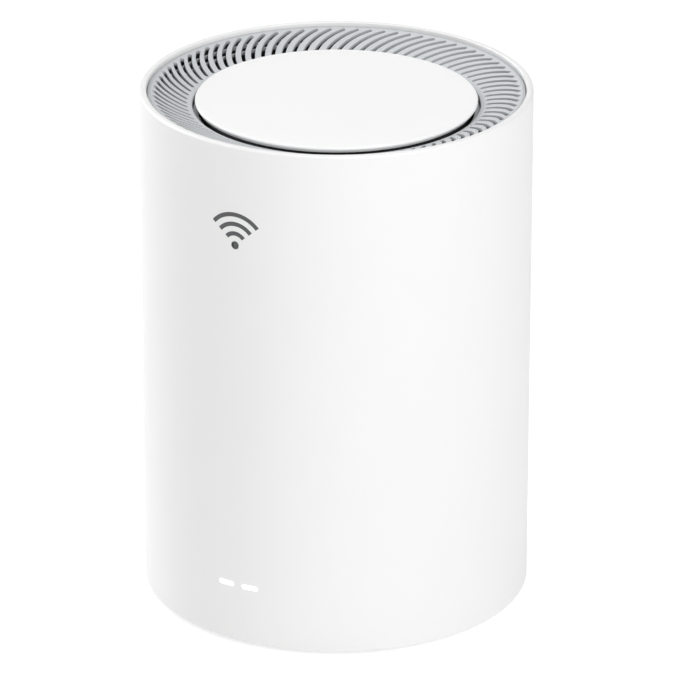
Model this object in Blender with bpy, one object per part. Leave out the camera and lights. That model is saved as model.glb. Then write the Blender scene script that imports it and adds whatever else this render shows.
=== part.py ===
"""A mesh wifi node: a round upright shell with a louvred ring and a floating cap disc on top, ports and
buttons in a bay at the back, and the board, heat sink, lights and antennas that it holds inside.

Metres, +Z up. The origin is the centre of the footprint, on the surface that the feet stand on. The
status lights face -Y and the ports face +Y. Pieces that rest on each other are a small gap apart.
"""

import math

import bmesh
import bpy
from mathutils import Matrix, Vector

MM = 0.001
GAP = 0.3 * MM

# ---- the shell: driving dimensions -------------------------------------------------------------
SLEEVE_R = 49.75 * MM
WALL = 1.8 * MM
BORE_R = SLEEVE_R - WALL
TOP = 135.5 * MM
SLEEVE_FOOT = 1.0 * MM
RIM_ROUND = 0.75 * MM
LEDGE_DEPTH = 1.05 * MM
ROUND_STEPS = 64

# ---- the louvred ring on top: a cone that sinks towards the middle -----------------------------
SLOT_COUNT = 82
GRILLE_R = BORE_R - 0.35 * MM
BAND_DROP = 1.0 * MM
CONE_R = 46.7 * MM
CONE_DROP = 1.05 * MM
CONE_SLOPE = 0.345
PLATE = 1.1 * MM
LIP_R = 36.4 * MM
SKIRT = 1.2 * MM
SKIRT_DROP = 10.7 * MM
SLOT_IN_R = 37.65 * MM
SLOT_OUT_R = 46.5 * MM
SLOT_LEAD = math.radians(2.9)
SLOT_TRAIL = math.radians(7.1)
SLOT_SAG = 1.0 * MM
SLOT_WIDTH = 1.02 * MM
SLOT_STEPS = 2
SLOT_PHASE = math.radians(2.2)

# ---- the cap disc and its carrier --------------------------------------------------------------
DISC_R = 35.75 * MM
DISC_DROP = 3.0 * MM
DISC_CROWN = 0.1 * MM
DISC_ROUND = 0.5 * MM
DISC_EDGE = 1.45 * MM
DISC_TAPER = 0.5 * MM
DISC_PLATE = 1.7 * MM
DISC_SKIRT_R = 34.8 * MM
DISC_SKIRT_DROP = 6.3 * MM
CARRIER_TOP = TOP - SKIRT_DROP - GAP
CARRIER_PLATE = 1.4 * MM
LEG_R = 26.0 * MM
BOSS_RING_R = 34.4 * MM
TRIPLE = [math.radians(90 + 120 * k) for k in range(3)]

# ---- the base ----------------------------------------------------------------------------------
BASE_BOTTOM = 1.2 * MM
BASE_PLATE = 2.0 * MM
BASE_R = BORE_R - 0.35 * MM
FOOT_RING_R = 36.0 * MM
FOOT_R = 5.9 * MM
FOOT_HEIGHT = 1.9 * MM
INTAKE_COUNT = 16
QUARTERS = [math.radians(45 + 90 * k) for k in range(4)]

# ---- the chassis -------------------------------------------------------------------------------
CAGE_R = 44.5 * MM
CAGE_WALL = 2.0 * MM
CAGE_BOTTOM = 7.3 * MM
CAGE_TOP = 114.0 * MM
WINDOW_HALF = 26.0 * MM

# ---- the main board, upright, its parts side facing -Y -----------------------------------------
BOARD_HALF = 37.0 * MM
BOARD_FRONT = 22.0 * MM
BOARD_BACK = 23.6 * MM
BOARD_Z = (12.0 * MM, 106.0 * MM)
BOARD_HOLES = [(x * MM, z * MM) for z in (22.0, 98.0) for x in (-30.0, 30.0)]
SINK_BACK = 17.6 * MM

# ---- the port bay ------------------------------------------------------------------------------
PANEL_BACK = 38.0 * MM
PANEL_FACE = 40.0 * MM
BAY_HALF = 25.5 * MM
BAY_Z = (12.0 * MM, 44.3 * MM)
BAY_WALL = 1.7 * MM
JACK_FACE = 39.7 * MM
JACK_WIDTH = 16.0 * MM
JACK_HEIGHT = 13.6 * MM
JACK_Z = 21.5 * MM
JACK_X = {"wan": -5.0 * MM, "lan": 12.5 * MM}
POWER_X = -19.0 * MM
POWER_SIZE = (9.4 * MM, 11.2 * MM)
POWER_HOLE_R = 3.1 * MM
BUTTON_Z = 37.5 * MM
PAIRING_X = -7.0 * MM
RESET_X = 7.0 * MM
BUTTON_R = 3.0 * MM
PINHOLE_R = 0.9 * MM
SWITCH_WIDTH = 6.0 * MM
SWITCH_HEIGHT = 3.5 * MM
WELL_DEPTH = 1.5 * MM
STEM_START = 2.7 * MM

# ---- the status lights -------------------------------------------------------------------------
LIGHT_Z = 16.7 * MM
LIGHT_X = 3.4 * MM
LIGHT_SIZE = (4.6 * MM, 1.4 * MM)
LIGHT_FIT = 0.15 * MM

# ---- the leads: points chosen along each one, in millimetres ------------------------------------
PLUG_R = 1.6 * MM
BACK_ROUTE = [
    (33.1, 32.7, 66),
    (29.2, 36.3, 64),
    (24.6, 38.2, 61.5),
    (20.8, 35.6, 60),
    (18.8, 31.0, 61.5),
    (17.6, 27.0, 65.5),
    (15.8, 25.0, 69),
    (13.6, 24.9, 71),
]
FRONT_ROUTE = [
    (32.7, -33.1, 66),
    (36.4, -28.6, 64),
    (38.4, -23.4, 61.5),
    (37.2, -12.0, 60),
    (35.6, 4.0, 60.5),
    (34.4, 15.0, 62.5),
    (33.8, 20.0, 66.5),
    (33.6, 20.7, 71),
]
LIGHT_ROUTE = [
    (-5, -40.4, 13.6),
    (-4, -36, 13.6),
    (0, -26, 13.4),
    (8, -8, 13.3),
    (16, 6, 14),
    (23, 16, 17.5),
    (26, 20.7, 25),
]


# ---- materials ---------------------------------------------------------------------------------
FINISHES = {
    "white_shell": ((0.90, 0.90, 0.90), 0.32, 0.0),
    "grey_grille": ((0.60, 0.62, 0.64), 0.45, 0.0),
    "dark_plastic": ((0.05, 0.05, 0.055), 0.5, 0.0),
    "frame_plastic": ((0.35, 0.36, 0.38), 0.55, 0.0),
    "rubber": ((0.10, 0.10, 0.11), 0.8, 0.0),
    "board_green": ((0.02, 0.16, 0.08), 0.4, 0.0),
    "chip_black": ((0.03, 0.03, 0.03), 0.45, 0.0),
    "steel": ((0.62, 0.62, 0.64), 0.3, 1.0),
    "tin_plate": ((0.72, 0.72, 0.73), 0.25, 1.0),
    "aluminium": ((0.75, 0.76, 0.78), 0.35, 1.0),
    "gold_contact": ((0.90, 0.68, 0.25), 0.25, 1.0),
    "thermal_pad": ((0.45, 0.55, 0.70), 0.7, 0.0),
    "light_pipe": ((0.95, 0.96, 0.97), 0.2, 0.0),
    "cable_black": ((0.03, 0.03, 0.03), 0.5, 0.0),
}


def finish(name):
    """The material of that name, made on first use."""
    if name in bpy.data.materials:
        return bpy.data.materials[name]
    color, roughness, metallic = FINISHES[name]
    material = bpy.data.materials.new(name)
    material.use_nodes = True
    shader = material.node_tree.nodes["Principled BSDF"]
    shader.inputs["Base Color"].default_value = (*color, 1.0)
    shader.inputs["Roughness"].default_value = roughness
    shader.inputs["Metallic"].default_value = metallic
    return material


# ---- shapes, each added to a bmesh -------------------------------------------------------------
def add_box(bm, low, high):
    low, high = Vector(low), Vector(high)
    placed = Matrix.Translation((low + high) / 2) @ Matrix.Diagonal((*(high - low), 1.0))
    bmesh.ops.create_cube(bm, size=1.0, matrix=placed)


def add_cylinder(bm, radius, start, end, segments=24):
    """A cylinder from the point start to the point end."""
    start, end = Vector(start), Vector(end)
    turn = (end - start).to_track_quat("Z", "Y").to_matrix().to_4x4()
    bmesh.ops.create_cone(
        bm,
        cap_ends=True,
        segments=segments,
        radius1=radius,
        radius2=radius,
        depth=(end - start).length,
        matrix=Matrix.Translation((start + end) / 2) @ turn,
    )


def add_turned(bm, profile, segments):
    """The profile, (radius, height) points, turned about Z. One that starts on the axis ends there too."""
    verts = [bm.verts.new((r, 0.0, z)) for r, z in profile]
    edges = [bm.edges.new(pair) for pair in zip(verts, verts[1:])]
    if profile[0][0] > 0.0:
        edges.append(bm.edges.new((verts[-1], verts[0])))
    bmesh.ops.spin(
        bm,
        geom=verts + edges,
        cent=(0, 0, 0),
        axis=(0, 0, 1),
        dvec=(0, 0, 0),
        angle=math.tau,
        steps=segments,
        use_merge=True,
    )
    bmesh.ops.remove_doubles(bm, verts=bm.verts, dist=0.001 * MM)


def add_prism(bm, outline, start, end):
    """An outline of (x, z) points, drawn out along Y from start to end."""
    face = bm.faces.new([bm.verts.new((x, start, z)) for x, z in outline])
    drawn = bmesh.ops.extrude_face_region(bm, geom=[face])["geom"]
    moved = [v for v in drawn if isinstance(v, bmesh.types.BMVert)]
    bmesh.ops.translate(bm, verts=moved, vec=(0, end - start, 0))


def rounded(centre, size, radius, steps=3):
    """The outline of a rectangle with round corners."""
    points = []
    for k, (sx, sz) in enumerate(((1, 1), (-1, 1), (-1, -1), (1, -1))):
        cx = centre[0] + sx * (size[0] / 2 - radius)
        cz = centre[1] + sz * (size[1] / 2 - radius)
        for i in range(steps + 1):
            a = math.pi / 2 * (k + i / steps)
            points.append((cx + radius * math.cos(a), cz + radius * math.sin(a)))
    return points


def solid(name, fill, look, location=(0, 0, 0), rotation=(0, 0, 0)):
    """A named object; fill adds its shape to the bmesh that it is given."""
    bm = bmesh.new()
    fill(bm)
    bmesh.ops.recalc_face_normals(bm, faces=bm.faces)
    mesh = bpy.data.meshes.new(name)
    bm.to_mesh(mesh)
    bm.free()
    mesh.shade_smooth()
    mesh.set_sharp_from_angle(angle=math.radians(32))
    mesh.materials.append(finish(look))
    obj = bpy.data.objects.new(name, mesh)
    obj.location = location
    obj.rotation_euler = rotation
    bpy.context.scene.collection.objects.link(obj)
    return obj


def combine(target, name, fill, operation="DIFFERENCE"):
    """Cuts target by the shape that fill makes, or joins it, or keeps what they share."""
    tool = solid(f"{target.name}_{name}", fill, "dark_plastic")
    tool.hide_render = True
    tool.display_type = "WIRE"
    modifier = target.modifiers.new(name, "BOOLEAN")
    modifier.operation = operation
    modifier.solver = "EXACT"
    modifier.object = tool
    return target


def polar(radius, angle, z=0.0):
    return Vector((radius * math.cos(angle), radius * math.sin(angle), z))


def box(name, low, high, look):
    return solid(name, lambda bm: add_box(bm, low, high), look)


def screw(name, look, head_r, head_height, shank_r, length, location, rotation=(0, 0, 0)):
    """A pan-head screw along local +Z, its origin under the head; the head lies below the origin."""
    profile = [
        (0.0, -head_height),
        (head_r * 0.75, -head_height),
        (head_r, -head_height * 0.4),
        (head_r, 0.0),
        (shank_r, 0.0),
        (shank_r, length - shank_r),
        (0.0, length),
    ]
    return solid(name, lambda bm: add_turned(bm, profile, 10), look, location, rotation)


# ---- the shell ---------------------------------------------------------------------------------
def corner(radius, z, size, steps):
    """Points round the rim's outer top corner, from the side up to the top."""
    turns = [math.pi / 2 * i / steps for i in range(steps + 1)]
    return [(radius - size + size * math.cos(a), z - size + size * math.sin(a)) for a in turns]


def inner_ledge(middle, height):
    """A ledge on the bore, listed downwards: the grille or the base comes to rest on it."""
    inside = BORE_R - LEDGE_DEPTH
    half = height / 2
    return [
        (BORE_R, middle + half + LEDGE_DEPTH / 2),
        (inside, middle + half),
        (inside, middle - half),
        (BORE_R, middle - half - LEDGE_DEPTH / 2),
    ]


def light_outline(side, grow=0.0):
    width, height = LIGHT_SIZE
    size = (width + 2 * grow, height + 2 * grow)
    return rounded((side * LIGHT_X, LIGHT_Z), size, size[1] / 2 * 0.98, 3)


def make_sleeve():
    profile = [(SLEEVE_R - 0.4 * MM, SLEEVE_FOOT), (SLEEVE_R, SLEEVE_FOOT + 0.4 * MM)]
    profile += corner(SLEEVE_R, TOP, RIM_ROUND, 2)
    profile += [(BORE_R + 0.3 * MM, TOP), (BORE_R, TOP - 0.3 * MM)]
    profile += inner_ledge(TOP - SKIRT_DROP - 1.6 * MM, 1.2 * MM)
    profile += inner_ledge(BASE_BOTTOM + BASE_PLATE + 1.7 * MM, 1.2 * MM)
    profile += [(BORE_R, SLEEVE_FOOT)]
    sleeve = solid("outer_sleeve", lambda bm: add_turned(bm, profile, ROUND_STEPS), "white_shell")

    middle = (BAY_Z[0] + BAY_Z[1]) / 2
    bay = rounded((0.0, middle), (2 * BAY_HALF, BAY_Z[1] - BAY_Z[0]), 3.5 * MM, 3)
    combine(sleeve, "port_window", lambda bm: add_prism(bm, bay, 30 * MM, 55 * MM))

    def light_holes(bm):
        for side in (-1, 1):
            add_prism(bm, light_outline(side, LIGHT_FIT), -55 * MM, -44 * MM)

    combine(sleeve, "light_holes", light_holes)


# ---- the top: louvred ring, cap disc and carrier -----------------------------------------------
def cone(radius):
    """Height of the ring's upper face at that radius."""
    return TOP - CONE_DROP - (CONE_R - radius) * CONE_SLOPE


def slot_centreline():
    """The slot's middle line in plan, an arc that runs outwards and clockwise."""
    start = polar(SLOT_IN_R, SLOT_LEAD).xy
    end = polar(SLOT_OUT_R, -SLOT_TRAIL).xy
    chord = end - start
    radius = chord.length_squared / (8 * SLOT_SAG) + SLOT_SAG / 2
    outward = Vector((-chord.y, chord.x)).normalized()
    centre = (start + end) / 2 + outward * (SLOT_SAG - radius)
    half = math.asin(chord.length / 2 / radius)
    middle = math.atan2(outward.y, outward.x)
    for i in range(SLOT_STEPS + 1):
        a = middle + half - 2 * half * i / SLOT_STEPS
        across = Vector((math.cos(a), math.sin(a)))
        yield centre + across * radius, across


def add_slot(bm, turn):
    """A cutter for one slot. Its walls are upright and it ends just under the plate."""
    line = list(slot_centreline())
    half = SLOT_WIDTH / 2
    outline = [p + across * half for p, across in line]
    outline += [p - across * half for p, across in reversed(line)]
    turned = Matrix.Rotation(turn, 2)
    points = [turned @ p for p in outline]
    top = [bm.verts.new((p.x, p.y, TOP + 1 * MM)) for p in points]
    under = [bm.verts.new((p.x, p.y, cone(p.length) - PLATE - 0.15 * MM)) for p in points]
    bm.faces.new(top)
    bm.faces.new(reversed(under))
    for i in range(len(points)):
        j = (i + 1) % len(points)
        bm.faces.new((top[i], under[i], under[j], top[j]))


def make_grille():
    skirt_end = TOP - SKIRT_DROP
    edge = 0.2 * MM
    profile = [
        (GRILLE_R, skirt_end),
        (GRILLE_R, TOP - BAND_DROP - edge),
        (GRILLE_R - edge, TOP - BAND_DROP),
        (CONE_R, cone(CONE_R)),
        (LIP_R + 0.3 * MM, cone(LIP_R + 0.3 * MM)),
        (LIP_R, cone(LIP_R) - 0.25 * MM),
        (LIP_R, skirt_end),
        (LIP_R + SKIRT, skirt_end),
        (LIP_R + SKIRT, cone(LIP_R + SKIRT) - PLATE),
    ]
    wall = GRILLE_R - SKIRT
    profile += [(wall, cone(wall) - PLATE), (wall, skirt_end)]
    grille = solid("top_grille", lambda bm: add_turned(bm, profile, SLOT_COUNT // 2), "grey_grille")

    def slots(bm):
        for k in range(SLOT_COUNT):
            add_slot(bm, SLOT_PHASE + math.tau * k / SLOT_COUNT)

    def bosses(bm):
        for angle in TRIPLE:
            foot = polar(BOSS_RING_R, angle, skirt_end)
            add_cylinder(bm, 2.4 * MM, foot, foot + Vector((0, 0, 3.8 * MM)), 16)

    def pilots(bm):
        for angle in TRIPLE:
            foot = polar(BOSS_RING_R, angle, skirt_end)
            low, high = Vector((0, 0, -1 * MM)), Vector((0, 0, 2.9 * MM))
            add_cylinder(bm, 1.2 * MM, foot + low, foot + high, 12)

    combine(grille, "slots", slots)
    combine(grille, "bosses", bosses, "UNION")
    combine(grille, "pilots", pilots)


def make_disc():
    face = TOP - DISC_DROP
    edge_foot = face - DISC_EDGE
    plate_under = face - DISC_PLATE
    skirt_foot = TOP - DISC_SKIRT_DROP
    profile = [(0.0, face + DISC_CROWN), (20 * MM, face + DISC_CROWN * 0.7)]
    profile += reversed(corner(DISC_R, face, DISC_ROUND, 2))
    profile += [
        (DISC_R - DISC_TAPER, edge_foot),
        (DISC_SKIRT_R, edge_foot - 0.1 * MM),
        (DISC_SKIRT_R - 0.5 * MM, skirt_foot),
        (DISC_SKIRT_R - 1.6 * MM, skirt_foot),
        (DISC_SKIRT_R - 1.9 * MM, plate_under),
        (0.0, plate_under),
    ]
    disc = solid("top_disc", lambda bm: add_turned(bm, profile, 54), "white_shell")
    hook_z = CARRIER_TOP - CARRIER_PLATE - GAP

    def legs(bm):
        for angle in TRIPLE:
            part = bmesh.new()
            half, thick = 2.2 * MM, 1.6 * MM
            low = (LEG_R, -half, hook_z - 1.2 * MM)
            add_box(part, low, (LEG_R + thick, half, plate_under + 0.4 * MM))
            part.transform(Matrix.Rotation(angle, 4, "Z"))
            copy_into(part, bm)

    def hooks(bm):
        for angle in TRIPLE:
            part = bmesh.new()
            half = 2.2 * MM
            low = (LEG_R + 0.8 * MM, -half, hook_z - 1.2 * MM)
            add_box(part, low, (LEG_R + 2.6 * MM, half, hook_z))
            part.transform(Matrix.Rotation(angle, 4, "Z"))
            copy_into(part, bm)

    combine(disc, "legs", legs, "UNION")
    combine(disc, "hooks", hooks, "UNION")


def copy_into(part, bm):
    """Adds the bmesh part to bm and frees it."""
    mesh = bpy.data.meshes.new("part")
    part.to_mesh(mesh)
    part.free()
    bm.from_mesh(mesh)
    bpy.data.meshes.remove(mesh)


def make_carrier():
    top, under = CARRIER_TOP, CARRIER_TOP - CARRIER_PLATE
    profile = [(16 * MM, under), (37.3 * MM, under), (37.3 * MM, top), (16 * MM, top)]
    carrier = solid("disc_carrier", lambda bm: add_turned(bm, profile, 36), "frame_plastic")

    def cuts(bm):
        for angle in TRIPLE:
            part = bmesh.new()
            low = (LEG_R - GAP, -2.5 * MM, under - 1 * MM)
            high = (LEG_R + 1.6 * MM + GAP, 2.5 * MM, top + 1 * MM)
            add_box(part, low, high)
            part.transform(Matrix.Rotation(angle, 4, "Z"))
            copy_into(part, bm)
            at = polar(BOSS_RING_R, angle)
            low, high = Vector((0, 0, under - 1 * MM)), Vector((0, 0, top + 1 * MM))
            add_cylinder(bm, 1.3 * MM, at + low, at + high, 12)

    combine(carrier, "cuts", cuts)
    for k, angle in enumerate(TRIPLE):
        at = polar(BOSS_RING_R, angle, under - GAP)
        screw(f"carrier_screw_{k + 1}", "steel", 2.2 * MM, 1.3 * MM, 0.9 * MM, 4.2 * MM, at)


# ---- the base and its feet ---------------------------------------------------------------------
def make_base():
    low, high = BASE_BOTTOM, BASE_BOTTOM + BASE_PLATE
    fence_r, fence_top = 46.4 * MM, high + 3.0 * MM
    profile = [
        (0.0, low + 0.4 * MM),
        (19.0 * MM, low + 0.4 * MM),
        (19.4 * MM, low),
        (BASE_R - 0.3 * MM, low),
        (BASE_R, low + 0.3 * MM),
        (BASE_R, high),
        (fence_r, high),
        (fence_r, fence_top),
        (fence_r - 1.2 * MM, fence_top),
        (fence_r - 1.2 * MM, high),
        (0.0, high),
    ]
    base = solid("base_cover", lambda bm: add_turned(bm, profile, 48), "white_shell")
    boss_top = CAGE_BOTTOM - GAP

    def bosses(bm):
        for angle in QUARTERS:
            start = polar(FOOT_RING_R, angle, high - 1 * MM)
            add_cylinder(bm, 4.6 * MM, start, polar(FOOT_RING_R, angle, boss_top), 12)

    def pockets(bm):
        for angle in QUARTERS:
            start = polar(FOOT_RING_R, angle, low - 1 * MM)
            add_cylinder(bm, FOOT_R + GAP, start, polar(FOOT_RING_R, angle, low + 1 * MM), 16)

    def counterbores(bm):
        for angle in QUARTERS:
            start = polar(FOOT_RING_R, angle, low + 0.5 * MM)
            add_cylinder(bm, 3.2 * MM, start, polar(FOOT_RING_R, angle, low + 3.4 * MM), 12)

    def holes(bm):
        for angle in QUARTERS:
            start = polar(FOOT_RING_R, angle, low)
            add_cylinder(bm, 1.7 * MM, start, polar(FOOT_RING_R, angle, boss_top + 1 * MM), 12)

    def intake(bm):
        for k in range(INTAKE_COUNT):
            angle = math.tau * (k + 0.5) / INTAKE_COUNT
            part = bmesh.new()
            add_box(part, (22.0 * MM, -0.9 * MM, low - 1 * MM), (28.5 * MM, 0.9 * MM, high + 1 * MM))
            part.transform(Matrix.Rotation(angle, 4, "Z"))
            copy_into(part, bm)

    combine(base, "bosses", bosses, "UNION")
    combine(base, "pockets", pockets)
    combine(base, "counterbores", counterbores)
    combine(base, "holes", holes)
    combine(base, "intake", intake)

    foot = [
        (0.0, 0.0),
        (FOOT_R - 0.5 * MM, 0.0),
        (FOOT_R, 0.5 * MM),
        (FOOT_R, FOOT_HEIGHT),
        (0.0, FOOT_HEIGHT),
    ]
    for k, angle in enumerate(QUARTERS):
        at = polar(FOOT_RING_R, angle)
        solid(f"foot_pad_{k + 1}", lambda bm: add_turned(bm, foot, 16), "rubber", at)
        seat = polar(FOOT_RING_R, angle, low + 3.4 * MM - GAP)
        screw(f"base_screw_{k + 1}", "steel", 2.7 * MM, 1.7 * MM, 1.3 * MM, 6.0 * MM, seat)


# ---- the chassis: a cage of four posts between two rings ---------------------------------------
def make_chassis():
    flange_top = CAGE_BOTTOM + 2.5 * MM
    inner = CAGE_R - CAGE_WALL
    profile = [
        (30.5 * MM, CAGE_BOTTOM),
        (CAGE_R, CAGE_BOTTOM),
        (CAGE_R, CAGE_TOP),
        (inner, CAGE_TOP),
        (inner, flange_top),
        (30.5 * MM, flange_top),
    ]
    cage = solid("chassis_frame", lambda bm: add_turned(bm, profile, 48), "frame_plastic")
    low, high = flange_top + 0.3 * MM, CAGE_TOP - 6 * MM
    far = 60 * MM

    def side_windows(bm):
        add_box(bm, (-far, -WINDOW_HALF, low), (far, WINDOW_HALF, high))

    def end_windows(bm):
        add_box(bm, (-WINDOW_HALF, -far, low), (WINDOW_HALF, far, high))

    def board_bosses(bm):
        for x, z in BOARD_HOLES:
            add_cylinder(bm, 2.6 * MM, (x, BOARD_BACK + GAP, z), (x, 30.0 * MM, z), 12)

    def floor_bosses(bm):
        for angle in QUARTERS:
            foot = polar(FOOT_RING_R, angle, flange_top - 1 * MM)
            add_cylinder(bm, 3.6 * MM, foot, foot + Vector((0, 0, 2.8 * MM)), 12)

    def light_cradle(bm):
        back = -41.1 * MM
        for side in (-1, 1):
            x0, x1 = sorted((side * 6.0 * MM, side * 9.5 * MM))
            add_box(bm, (x0, back, flange_top - 1 * MM), (x1, back + 1.6 * MM, 20.5 * MM))

    def board_pilots(bm):
        for x, z in BOARD_HOLES:
            add_cylinder(bm, 1.5 * MM, (x, BOARD_BACK - 1 * MM, z), (x, 28.8 * MM, z), 10)

    def floor_pilots(bm):
        for angle in QUARTERS:
            foot = polar(FOOT_RING_R, angle, CAGE_BOTTOM - 1 * MM)
            add_cylinder(bm, 1.6 * MM, foot, foot + Vector((0, 0, 4.6 * MM)), 10)

    combine(cage, "side_windows", side_windows)
    combine(cage, "end_windows", end_windows)
    combine(cage, "board_bosses", board_bosses, "UNION")
    combine(cage, "floor_bosses", floor_bosses, "UNION")
    combine(cage, "light_cradle", light_cradle, "UNION")
    combine(cage, "board_pilots", board_pilots)
    combine(cage, "floor_pilots", floor_pilots)


# ---- the main board and what is on its front ---------------------------------------------------
def make_board():
    board = box(
        "main_board",
        (-BOARD_HALF, BOARD_FRONT, BOARD_Z[0]),
        (BOARD_HALF, BOARD_BACK, BOARD_Z[1]),
        "board_green",
    )

    def holes(bm):
        for x, z in BOARD_HOLES:
            add_cylinder(bm, 1.6 * MM, (x, BOARD_FRONT - 1 * MM, z), (x, BOARD_BACK + 1 * MM, z), 16)

    combine(board, "holes", holes)
    towards_back = (-math.pi / 2, 0, 0)
    for k, (x, z) in enumerate(BOARD_HOLES):
        seat = (x, BOARD_FRONT - GAP, z)
        screw(f"board_screw_{k + 1}", "steel", 2.6 * MM, 1.6 * MM, 1.2 * MM, 6.6 * MM, seat, towards_back)


def on_board(name, centre, size, height, look):
    """A part that sits on the board's front: centre and size in X and Z, height along -Y."""
    (x, z), (width, length) = centre, size
    back = BOARD_FRONT - GAP
    low = (x - width / 2, back - height, z - length / 2)
    return box(name, low, (x + width / 2, back, z + length / 2), look)


def make_board_parts():
    pad_room = BOARD_FRONT - GAP - SINK_BACK
    soc, radio = (-11 * MM, 58 * MM), (12 * MM, 72 * MM)
    on_board("soc_chip", soc, (14 * MM, 14 * MM), 1.4 * MM, "chip_black")
    on_board("memory_chip", (-11 * MM, 82 * MM), (9 * MM, 13 * MM), 1.1 * MM, "chip_black")
    on_board("radio_chip", radio, (10 * MM, 10 * MM), 0.9 * MM, "chip_black")
    on_board("ethernet_chip", (4 * MM, 34 * MM), (10 * MM, 6 * MM), 1.2 * MM, "chip_black")
    for k, x in enumerate(JACK_X.values()):
        on_board(f"network_transformer_{k + 1}", (x, 21 * MM), (12.7 * MM, 9.4 * MM), 4.2 * MM, "chip_black")
    cap = Vector((-27 * MM, BOARD_FRONT - GAP, 33 * MM))
    barrel = [(0.0, 0.0), (4.0 * MM, 0.0), (4.0 * MM, 1.4 * MM), (3.6 * MM, 1.8 * MM), (4.0 * MM, 2.2 * MM)]
    barrel += [(4.0 * MM, 9.6 * MM), (3.6 * MM, 10.0 * MM), (0.0, 10.0 * MM)]
    solid("bulk_capacitor", lambda bm: add_turned(bm, barrel, 20), "aluminium", cap, (math.pi / 2, 0, 0))

    can = on_board("radio_shield", radio, (24 * MM, 26 * MM), 2.6 * MM, "tin_plate")

    def inside(bm):
        half_x, half_z, wall = 12 * MM, 13 * MM, 0.4 * MM
        low = (radio[0] - half_x + wall, BOARD_FRONT - GAP - 2.6 * MM + wall, radio[1] - half_z + wall)
        add_box(bm, low, (radio[0] + half_x - wall, BOARD_FRONT, radio[1] + half_z - wall))

    combine(can, "inside", inside)
    for name, (x, z), half, stack in (
        ("soc_thermal_pad", soc, 7 * MM, 1.4 * MM),
        ("radio_thermal_pad", radio, 10 * MM, 2.6 * MM),
    ):
        low = (x - half, SINK_BACK + GAP, z - half)
        high = (x + half, SINK_BACK + pad_room - stack - GAP, z + half)
        box(name, low, high, "thermal_pad")


def make_heat_sink():
    """An extruded comb: a plate with upright fins that point away from the board."""
    half, plate, fin, depth, count = 26 * MM, 2.6 * MM, 1.2 * MM, 12 * MM, 9
    pitch = (2 * half - fin) / (count - 1)
    front = SINK_BACK - plate
    outline = [(half, SINK_BACK), (-half, SINK_BACK)]
    for k in range(count):
        x = -half + k * pitch
        outline += [(x, front), (x, front - depth), (x + fin, front - depth), (x + fin, front)]
    del outline[2], outline[-1]

    def comb(bm):
        add_prism(bm, outline, 0.0, 52 * MM)
        bmesh.ops.transform(bm, matrix=Matrix.Rotation(math.pi / 2, 4, "X"), verts=bm.verts)
        bmesh.ops.scale(bm, vec=(1, -1, 1), verts=bm.verts)

    sink = solid("heat_sink", comb, "aluminium", (0, 0, 40 * MM))

    def standoffs(bm):
        for x, z in ((-22 * MM, 45 * MM), (22 * MM, 88 * MM)):
            add_cylinder(bm, 2.2 * MM, (x, SINK_BACK - 1 * MM, z), (x, BOARD_FRONT - GAP, z), 12)

    combine(sink, "standoffs", standoffs, "UNION")


# ---- the port bay ------------------------------------------------------------------------------
def make_port_panel():
    half, wall = BAY_HALF + BAY_WALL + 0.2 * MM, BAY_WALL
    panel = box(
        "port_panel",
        (-half, PANEL_BACK, BAY_Z[0] - wall),
        (half, SLEEVE_R, BAY_Z[1] + wall),
        "dark_plastic",
    )
    middle = (BAY_Z[0] + BAY_Z[1]) / 2
    bay = rounded((0.0, middle), (2 * BAY_HALF, BAY_Z[1] - BAY_Z[0]), 3.5 * MM, 3)

    def bore(bm):
        add_cylinder(bm, BORE_R - GAP, (0, 0, 0), (0, 0, 60 * MM), ROUND_STEPS)

    def pinhole_guide(bm):
        end = (RESET_X, PANEL_BACK + 1 * MM, BUTTON_Z)
        add_cylinder(bm, 2.2 * MM, (RESET_X, 32 * MM, BUTTON_Z), end, 16)

    def openings(bm):
        back, front, margin = PANEL_BACK - 1 * MM, PANEL_FACE + 1 * MM, GAP
        for x in JACK_X.values():
            low = (x - JACK_WIDTH / 2 - margin, back, JACK_Z - JACK_HEIGHT / 2 - margin)
            add_box(bm, low, (x + JACK_WIDTH / 2 + margin, front, JACK_Z + JACK_HEIGHT / 2 + margin))
        half_x, half_z = POWER_SIZE[0] / 2 + GAP, POWER_SIZE[1] / 2 + GAP
        add_box(bm, (POWER_X - half_x, back, JACK_Z - half_z), (POWER_X + half_x, front, JACK_Z + half_z))
        add_cylinder(bm, BUTTON_R + GAP, (PAIRING_X, back, BUTTON_Z), (PAIRING_X, front, BUTTON_Z), 24)
        add_cylinder(bm, PINHOLE_R, (RESET_X, 31 * MM, BUTTON_Z), (RESET_X, front, BUTTON_Z), 12)

    combine(panel, "bay", lambda bm: add_prism(bm, bay, PANEL_FACE, 60 * MM))
    combine(panel, "bore", bore, "INTERSECT")
    combine(panel, "pinhole_guide", pinhole_guide, "UNION")
    combine(panel, "openings", openings)


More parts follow.
